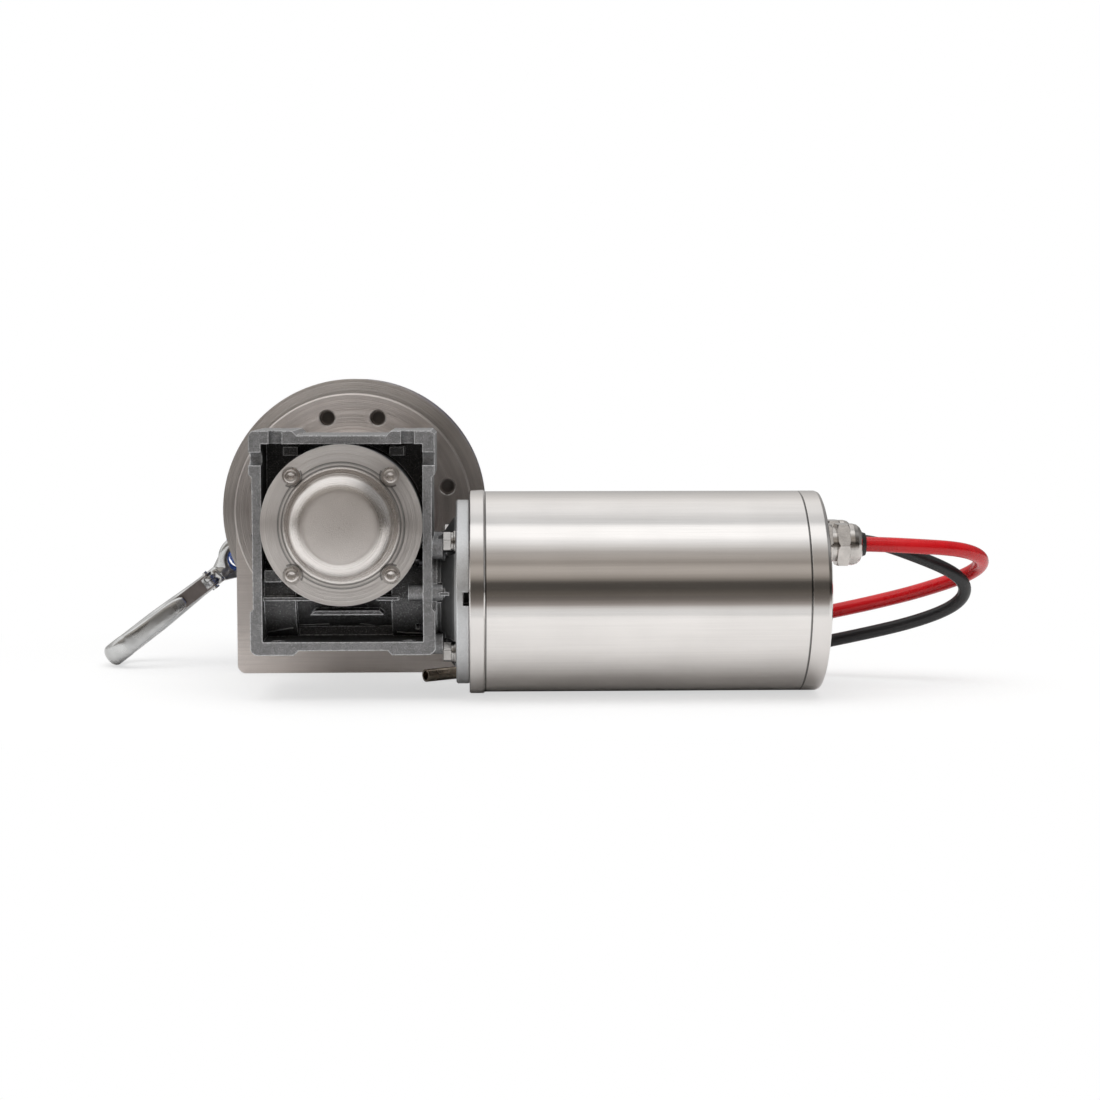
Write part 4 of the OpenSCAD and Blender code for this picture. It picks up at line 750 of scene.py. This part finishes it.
# ---------------------------------------------------------------- rope
def braid(radius, sides, depth=0.10):
    """A section maker whose surface swells over each crossing of the strands.

    radius is a number or a function of the run."""
    turns = [2 * math.pi * k / sides for k in range(sides)]

    def section(i, run):
        r = radius(run) if callable(radius) else radius
        v = run * math.pi * STRANDS / PITCH
        out = []
        for k, a in enumerate(turns):
            u = k / sides * math.pi * STRANDS
            bulge = abs(math.sin(u + v)) * abs(math.sin(u - v))
            rr = r * (1 - depth + depth * 1.25 * bulge ** 0.5)
            out.append((rr * math.cos(a), rr * math.sin(a)))
        return out

    return section


THIMBLE = Matrix.Translation((-0.0681, 0, 0.0738)) @ Matrix.Rotation(math.radians(-36), 4, "Z")
# Radius of the rope's middle line round the thimble, and where the rope comes into the eye
EYE_R = 0.013
NECK = (-0.0026, 0.0262)
# The free tail's x and height over the drum axis, in mm
TAIL = [(-47.2, 32.5), (-51.4, 27.1), (-55.7, 21.5), (-60.1, 15.9), (-64, 10.7), (-66.6, 6.2)]


def teardrop(radius, ups, step):
    """Two straight legs joined by a round, in the thimble's plane.

    ups says how far up a leg its points lie, and step is the angle between the round's points."""
    low = math.radians(160)
    foot = radius * Vector((math.cos(low), math.sin(low)))
    leg = Vector((math.sin(low), -math.cos(low)))
    first = [foot + leg * up for up in ups]
    turn = [radius * Vector((math.cos(math.radians(a)), math.sin(math.radians(a))))
            for a in range(160, 381, step)]
    return first + turn + [Vector((-p.x, p.y)) for p in first[::-1]]


def eye_line():
    """The free tail from the drum, round the thimble and back into the splice."""
    tail = [Vector((x, 0, z + AXIS_Z / MM)) * MM for x, z in TAIL]
    flat = [Vector(NECK), Vector((-0.0033, 0.0215)), *teardrop(EYE_R, (0.0135, 0.0075), 20),
            Vector((0.0033, 0.0215)), Vector((0.0022, 0.0275)), Vector((0.0008, 0.033))]
    return tail + [THIMBLE @ Vector((p.x, 0, p.y)) for p in flat]


def swell(knots):
    """Radius along the run, eased from knot to knot. A knot is a run and the radius there."""
    def radius(run):
        for (a, ra), (b, rb) in zip(knots, knots[1:]):
            if run <= b:
                t = (run - a) / (b - a)
                return ra + (rb - ra) * t * t * (3 - 2 * t)
        return knots[-1][1]

    return radius


def make_rope():
    """The free rope, its middle line, and the twine that whips its splice."""
    line = catmull(eye_line(), 0.0005)
    run = lengths(line)
    total = run[-1]
    mouth = THIMBLE @ Vector((NECK[0], 0, NECK[1]))
    neck = run[min(range(len(line)), key=lambda i: (line[i] - mouth).length)]
    # the splice is thicker above the thimble, and the buried end tapers out
    knots = [(0, ROPE_R), (neck - 0.026, ROPE_R), (neck - 0.006, 0.0044), (neck, 0.0041),
             (neck + 0.006, 0.0031), (neck + 0.010, ROPE_R), (total - 0.010, ROPE_R),
             (total, 0.0018)]
    rope = new_object("rope_tail_and_eye", sweep(line, braid(swell(knots), 40), (0, 1, 0)), "frame",
                      mats["blue"], ["rope_tail", "rope_eye"])
    at = next(i for i, r in enumerate(run) if r > neck - 0.001)
    centre, h = line[at], (line[at - 2] - line[at + 2]).normalized()
    side = h.cross(Vector((0, 1, 0))).normalized()
    rise = side.cross(h)
    wide, high, long, per_turn, count = 0.0052, 0.0046, 0.006, 24, 160
    shift = Vector((0.0010, 0, -0.001))
    turns = []
    for k in range(count + 1):
        a = 2 * math.pi * k / per_turn
        out = side * math.cos(a) * wide + rise * math.sin(a) * high
        turns.append(centre + h * (long * k / count - long / 2) + out + shift)
    twine = circle(0.00045, 8)
    whip = new_object("splice_whipping", sweep(turns, lambda i, run: twine, (0.3, 1, 0.2)), "frame",
                      mats["twine"])
    return rope, line, whip


rope, rope_line, whip = make_rope()


def coil_line():
    """Every turn on the drum, from the barrel up to where the tail leaves."""
    # each layer's radius and number of turns
    layers = [(0.0332, 9), (0.0391, 9), (0.0451, 9), (0.0511, 9), (0.0572, 4.5)]
    # half the width that the turns cover, the climb onto a layer in turns, and points to a turn
    reach, climb, fineness = 0.024, 0.4, 30
    total = sum(turns for _, turns in layers)
    leaves = math.atan2(TAIL[0][1], TAIL[0][0])
    count = int(total * fineness)
    pts = []
    for i in range(count + 1):
        at = total * i / count
        layer, left = 0, at
        while layer < len(layers) - 1 and left > layers[layer][1]:
            left -= layers[layer][1]
            layer += 1
        across = min(max(reach + ROPE_R - 2 * ROPE_R * left, -reach), reach)
        r = layers[layer][0]
        if layer:
            below = layers[layer - 1][0]
            r = below + (r - below) * min(1, left / climb)
        a = leaves - 2 * math.pi * (total - at)
        pts.append(Vector((r * math.cos(a), across * (-1) ** layer, AXIS_Z + r * math.sin(a))))
    return pts


fine = catmull(coil_line(), 0.0035)
coil = new_object("rope_on_drum", sweep(fine, braid(ROPE_R, 16, 0.06), (0, 1, 0)),
                  body_of("rope_coil"), mats["blue"], ["rope_coil"])
round(lengths(fine)[-1], 3)

# ---------------------------------------------------------------- thimble, hook and eye
HOOK = Matrix.Translation((-0.0713, 0, 0.0669)) @ Matrix.Rotation(math.radians(180 - 37.52), 4, "Y")


def forged(name, parts, node, voxel, smooth):
    """Solids run together as one forging with soft blends, on its CAD node's body."""
    obj = new_object(name, join(parts), body_of(node), mats["zinc"], [node])
    blend = obj.modifiers.new("blend", "REMESH")
    blend.mode = "VOXEL"
    blend.voxel_size = voxel
    blend.use_smooth_shade = True
    soft = obj.modifiers.new("soft", "SMOOTH")
    soft.factor = 0.5
    soft.iterations = smooth
    deps = bpy.context.evaluated_depsgraph_get()
    mesh = bpy.data.meshes.new_from_object(obj.evaluated_get(deps))
    obj.modifiers.clear()
    old = obj.data
    obj.data = mesh
    bpy.data.meshes.remove(old)
    mesh.name = name
    mesh.shade_smooth()


def make_thimble():
    """A folded channel round the rope: flat floor, lips rolled outward, ends cut at a slant."""
    flat = teardrop(0.0094, (0.0158, 0.012, 0.008, 0.004), 10)
    line = catmull([Vector((p.x, 0, p.y)) for p in flat], 0.0008)
    outer = [(0.0038, 0.0030), (0.0040, 0.0024), (0.0035, 0.0006), (0.0020, -0.0004), (0, -0.0006),
             (-0.0020, -0.0004), (-0.0035, 0.0006), (-0.0040, 0.0024), (-0.0038, 0.0030)]
    inner = [(-0.0031, 0.0027), (-0.0031, 0.0018), (-0.0026, 0.0008), (0, 0.0003), (0.0026, 0.0008),
             (0.0031, 0.0018), (0.0031, 0.0027)]
    shape = [(a, -b) for a, b in outer + inner]
    verts, faces, uvs = sweep(line, lambda i, run: shape, (0, 1, 0))
    obj = new_object("folded_thimble", ([THIMBLE @ v for v in verts], faces, uvs), "frame",
                     mats["galv"], ["rope_thimble"])
    return sharpen(obj, 50)


def make_eye():
    """Ring standing across the shank with a drop-shaped neck."""
    ring_r, bar = 0.0113, 0.0033
    neck_from, neck_to, neck_r, neck_grows = 0.0108, 0.0166, 0.0030, 0.0024
    web_r, web_thins, web_apart, web_at = 0.0036, 0.00014, 0.0022, math.radians(52)
    turn = Matrix.Rotation(math.radians(62), 4, "X")
    loop = [HOOK @ (turn @ Vector((ring_r * math.cos(a), ring_r * math.sin(a), 0)))
            for a in (2 * math.pi * k / 96 for k in range(97))]
    axis = HOOK.to_3x3() @ (turn.to_3x3() @ Vector((0, 0, 1)))
    ring = sweep(loop, lambda i, run: rounded(bar, bar * 0.96, 2.2, 24), axis, caps=False)
    steps = [k / 14 for k in range(15)]
    neck = [HOOK @ Vector((neck_from + (neck_to - neck_from) * t, 0, 0)) for t in steps]
    cone = sweep(neck, lambda i, run: circle(neck_r + neck_grows * steps[i] ** 0.7, 32), (0, 1, 0))
    webs = []
    for s in (-1, 1):
        # shoulders that run from the neck into the ring
        foot = HOOK @ Vector((neck_to, 0, s * web_apart))
        top = Vector((ring_r * math.cos(web_at), s * ring_r * math.sin(web_at), 0))
        top = HOOK @ (turn @ top)
        line = [foot.lerp(top, k / 8) for k in range(9)]
        webs.append(sweep(line, lambda i, run: circle(web_r - web_thins * i, 20), (0, 1, 0)))
    forged("forged_eye", [ring, cone] + webs, "hook_eye", 0.00035, 16)


def hook_bar():
    """The hook's one bar, from the shank round the bend to the tip.

    Each row gives x, y, half the thickness in the hook's plane and half the width across it, in
    mm. The wide side lies along the latch pin."""
    mid, centre = 16.0, 83.0
    shank = [(17, 0, 4.6, 5.4), (18.5, 0, 4.5, 5.4), (22, 0.8, 4.2, 5.4), (27, 3, 4, 5.4),
             (34, 7.5, 3.8, 5.5), (42, 12, 3.8, 5.8), (51, 15, 4, 6.2), (60, mid, 4.4, 6.6),
             (70, mid, 4.8, 6.9), (centre, mid, 5, 6.9)]
    bend = [(centre + mid * math.cos(math.radians(a)), mid * math.sin(math.radians(a)), 5, 6.9)
            for a in range(75, -76, -15)]
    tip = [(centre, -mid, 4.8, 6.3), (74, -mid, 4.4, 5.7), (64, -mid + 0.4, 4, 5.3),
           (54, -mid + 1.4, 3.4, 5.1), (48, -mid + 2.3, 2.8, 4.6), (44.5, -mid + 2.9, 2.1, 3.7),
           (42.3, -mid + 3.3, 1.3, 2.3)]
    rows = shank + bend + tip
    squareness = [3.0] * (len(shank) - 1) + [2.3] * (len(bend) + 1) + [3.6] * (len(tip) - 1)
    line = catmull([Vector((row[0], row[1], 0)) for row in rows], 1.0)
    marks = lengths([Vector(row[:2]) for row in rows])
    scale = marks[-1] / lengths(line)[-1]

    def section(i, run):
        s = run * 1000 * scale
        k = next((k for k in range(len(marks) - 2) if s <= marks[k + 1]), len(marks) - 2)
        t = min(1, max(0, (s - marks[k]) / (marks[k + 1] - marks[k])))
        thick, wide = (a + (b - a) * t for a, b in zip(rows[k][2:], rows[k + 1][2:]))
        return rounded(wide * MM, thick * MM, squareness[k], 40)

    return sweep([HOOK @ (p * MM) for p in line], section, HOOK.to_3x3() @ Vector((0, 1, 0)))


def make_hook():
    """The bar with the latch pin's boss and the web under it."""
    pin_at = HOOK @ Vector((0.0235, -0.0065, -0.003))
    boss = lathe([(0.0033, 0), (0.0034, 0.0003), (0.0034, 0.0029), (0.0033, 0.0032)],
                 aim(pin_at, HOOK.to_3x3() @ Vector((0, 0, 1))), 48)
    web = [HOOK @ Vector((x, y, z)) for x in (0.0203, 0.0267) for y in (-0.0062, 0.0010)
           for z in (-0.0029, 0.0001)]
    sides = [(0, 1, 3, 2), (4, 6, 7, 5), (0, 4, 5, 1), (2, 3, 7, 6), (0, 2, 6, 4), (1, 5, 7, 3)]
    forged("forged_hook", [hook_bar(), boss, (web, sides)], "snap_hook", 0.0004, 22)


thimble = make_thimble()
make_eye()
make_hook()
round(lengths(rope_line)[-1], 3)


# ---------------------------------------------------------------- screws and bolts
def socket_screw(place, r, head_h, key, washer, wide, shank):
    """Washer, chamfered head with a hexagon socket, and its shank behind.

    key is the socket's width across flats, washer the washer's thickness, wide its radius, and
    shank gives a radius and a length."""
    top = washer + head_h
    return [
        lathe([(r * 0.9, 0), (wide - 0.0001, 0), (wide, 0.0001), (wide, washer - 0.0001),
               (wide - 0.0001, washer), (r * 0.9, washer)], place, 56),
        lathe([(r, washer), (r, top - 0.0006), (r - 0.0002, top - 0.0002), (r - 0.0006, top),
               (key / 2 + 0.0003, top), (key / 2, top - 0.0003, 6),
               (key / 2, washer + head_h * 0.45, 6), (0.0002, washer + head_h * 0.3)], place, 60),
        lathe([(shank[0], 0.0002), (shank[0], -shank[1])], place, 32)]


def make_cover_screws():
    """The shaft-end cover's screws, each turned by its own angle."""
    cover_face = -0.1622
    parts = []
    for k in range(SCREWS):
        a = math.radians(45 + 90 * k)
        at = Vector((SCREW_RING * math.cos(a), cover_face, AXIS_Z + SCREW_RING * math.sin(a)))
        place = aim(at, (0, -1, 0)) @ Matrix.Rotation(0.4 + 1.1 * k, 4, "Z")
        parts += socket_screw(place, r=0.0036, head_h=0.0034, key=0.0036, washer=0.0009,
                              wide=0.0048, shank=(0.003, 0.013))
    obj = new_object("cover_socket_screws", join(parts), "frame",
                     mats["screw"], ["cover_screws"])
    sharpen(obj, 30)


make_cover_screws()


# ---------------------------------------------------------------- parting line of the casting
def make_mould_line():
    """Thin raised line where the two halves of the mould met, low on the worm barrel.

    Each run gives the barrel's radius there and its points' x and z in mm."""
    ends, middle, steps, thick, waver = 0.02505, 0.01905, 24, 0.00048, 0.00018
    runs = [(ends, [(-43, 36.2), (-36, 37.5), (-28.4, 38.9)]),
            (middle, [(-26.6, 39.3), (-17, 39.6), (-9.2, 39.9)]),
            (middle, [(7.8, 39.9), (14, 39.2), (18.6, 38.2), (26.6, 38.2)]),
            (ends, [(28.4, 36.0), (34, 35.2), (43, 35.0)])]
    parts = []
    for radius, pairs in runs:
        pts = [Vector((x * MM, GEAR_Y - math.sqrt(radius ** 2 - (z * MM - MOTOR_Z) ** 2), z * MM))
               for x, z in pairs]
        line = []
        for a, b in zip(pts, pts[1:]):
            for k in range(steps):
                p = a.lerp(b, k / steps)
                line.append(p + Vector((0, 0, waver * noise.noise(p * 700))))
        parts.append(sweep(line + [pts[-1]], lambda i, run: circle(thick, 8), (0, 0, 1)))
    new_object("mould_line", join(parts), "frame", mats["galv"])


make_mould_line()


# ---------------------------------------------------------------- weld beads
def weld_bead(s):
    """One fillet weld along a side plate's foot, on side s, rippled at the torch's pace."""
    long, foot, floor, pace, count = 0.120, 0.0345, 0.006, 0.0019, 700
    line = [Vector((long * (k / count - 0.5), s * foot, floor)) for k in range(count + 1)]
    size, ripple, bulge = 0.0036, 0.00035, 1.12
    rand = random.Random(s + 3)
    uneven = [rand.uniform(-0.0002, 0.0002) for _ in range(80)]

    def section(i, run):
        k = run / pace
        here = size + ripple * abs(math.sin(math.pi * k)) ** 0.5 + uneven[int(k) % len(uneven)]
        arc = []
        for a in (math.pi / 2 * j / 14 for j in range(15)):
            bow = here * (1 + 0.05 * math.sin(2 * a)) / (math.cos(a) + math.sin(a)) * bulge
            arc.append((s * bow * math.cos(a), bow * math.sin(a)))
        return arc + [(-s * 0.0005, -0.0005)]

    return sweep(line, section, (0, 0, 1))


new_object("fillet_welds", join([weld_bead(s) for s in (-1, 1)]), "frame",
           mats["weld"], ["corner_welds"])


# ---------------------------------------------------------------- stage
def make_stage():
    """The white sheet under the hauler."""
    mesh = mesh_from("floor", [(-6, -6, 0), (6, -6, 0), (6, 6, 0), (-6, 6, 0)], [(0, 1, 2, 3)])
    floor = bpy.data.objects.new("floor", mesh)
    bpy.context.scene.collection.objects.link(floor)
    floor.location = (0.1, 0, -0.0002)
    m = Material("floor", Base_Color=(0.86, 0.86, 0.86, 1), Roughness=0.9, Specular_IOR_Level=0.0)
    x, y, _ = m.xyz(m.node("NewGeometry", out="Position"))
    out = m.tree.nodes["Material Output"]
    # what the polished metal sees of the floor in front: a dim room past the white sheet
    glossy = m.node("LightPath", out="Is Glossy Ray")
    room = m.ramp((0 - y) / 2, (0.170, (0.85, 0.85, 0.85)), (0.195, (0.77, 0.76, 0.75)),
                  (0.235, (0.42, 0.39, 0.37)), (0.285, (0.29, 0.265, 0.245)),
                  (0.42, (0.20, 0.18, 0.165)), (0.90, (0.155, 0.14, 0.13)))
    dim = m.node("Emission", {}, {"Color": room, "Strength": 1.0})
    far = m.step(y, -0.31, -0.27, 1.0, 0.0)
    seen = m.node("MixShader", {}, {0: glossy * far, 1: Sock(m, m.bsdf.outputs[0]), 2: dim})
    # the sheet runs out to white, as the backdrop does, past a box round the hauler
    camera = m.node("LightPath", out="Is Camera Ray")
    mid_x, mid_y, half_x, half_y = 0.11, -0.04, 0.24, 0.11
    dx, dy = (abs(x - mid_x) - half_x).max(0.0), (abs(y - mid_y) - half_y).max(0.0)
    away = (dx * dx + dy * dy) ** 0.5
    white = m.node("Emission", {}, {"Color": (1, 1, 1, 1), "Strength": 1.0})
    fade = camera * m.step(away, 0.0, 0.14, 0.62, 1.0)
    m.link(m.node("MixShader", {}, {0: fade, 1: seen, 2: white}), out, "Surface")
    mesh.materials.append(m.mat)


def make_world():
    """The studio's light, painted by its height over the horizon, and white to the camera."""
    world = bpy.data.worlds.new("studio")
    bpy.context.scene.world = world
    world.use_nodes = True
    w = Nodes(world.node_tree)
    back = world.node_tree.nodes["Background"]
    x, y, z = w.xyz(w.node("TexCoord", out="Generated"))
    angle = z.atan2(0 - y) / math.pi

    # degrees up from the front horizon, over the top to the back, then the level and its warmth
    stops = [(0, 0.14, 0.12), (5, 0.10, 0.12), (8, 0.075, 0.10), (15, 0.075, 0.10),
             (21, 0.33, 0.10), (27, 0.48, 0.08), (32, 0.48, 0.08), (38, 0.32, 0.09),
             (44, 0.45, 0.07), (50, 0.47, 0.05), (57, 0.75, 0.02), (63, 1.0, 0.0), (70, 1.3, 0.0),
             (83, 1.3, 0.0), (90, 0.79, -0.01), (99, 0.84, 0.0), (108, 1.0, 0.0),
             (128, 1.0, 0.01), (142, 0.76, 0.02), (161, 0.55, 0.02), (180, 0.45, 0.02)]
    sky = w.ramp(angle, *[(degrees / 180, (level * (1 + warm), level, level * (1 - warm)))
                          for degrees, level, warm in stops])
    camera = w.node("LightPath", out="Is Camera Ray")
    # the room is darker to the right
    side = w.step(x, 0.12, 0.60, 1.0, 0.30)
    sky = w.mix(1.0, sky, w.vec(side, side, side), "MULTIPLY")
    w.link(w.mix(camera, sky, (1.0, 1.0, 1.0)), back, "Color")


def area(name, loc, target, size, power):
    """A lamp that polished metal doesn't mirror."""
    light = bpy.data.lights.new(name, "AREA")
    light.shape = "RECTANGLE"
    light.size, light.size_y = size
    light.energy = power
    obj = bpy.data.objects.new(name, light)
    bpy.context.scene.collection.objects.link(obj)
    obj.location = loc
    obj.rotation_euler = (Vector(target) - Vector(loc)).to_track_quat("-Z", "Y").to_euler()
    obj.visible_glossy = False


make_stage()
make_world()
area("top_light", (0.1, -0.5, 1.5), (0.1, -0.05, 0), (1.6, 1.2), 16)
area("fill_light", (0.9, -1.3, 0.7), (0.1, -0.05, 0.05), (0.8, 0.8), 3)
bpy.context.scene.view_settings.view_transform = "Standard"
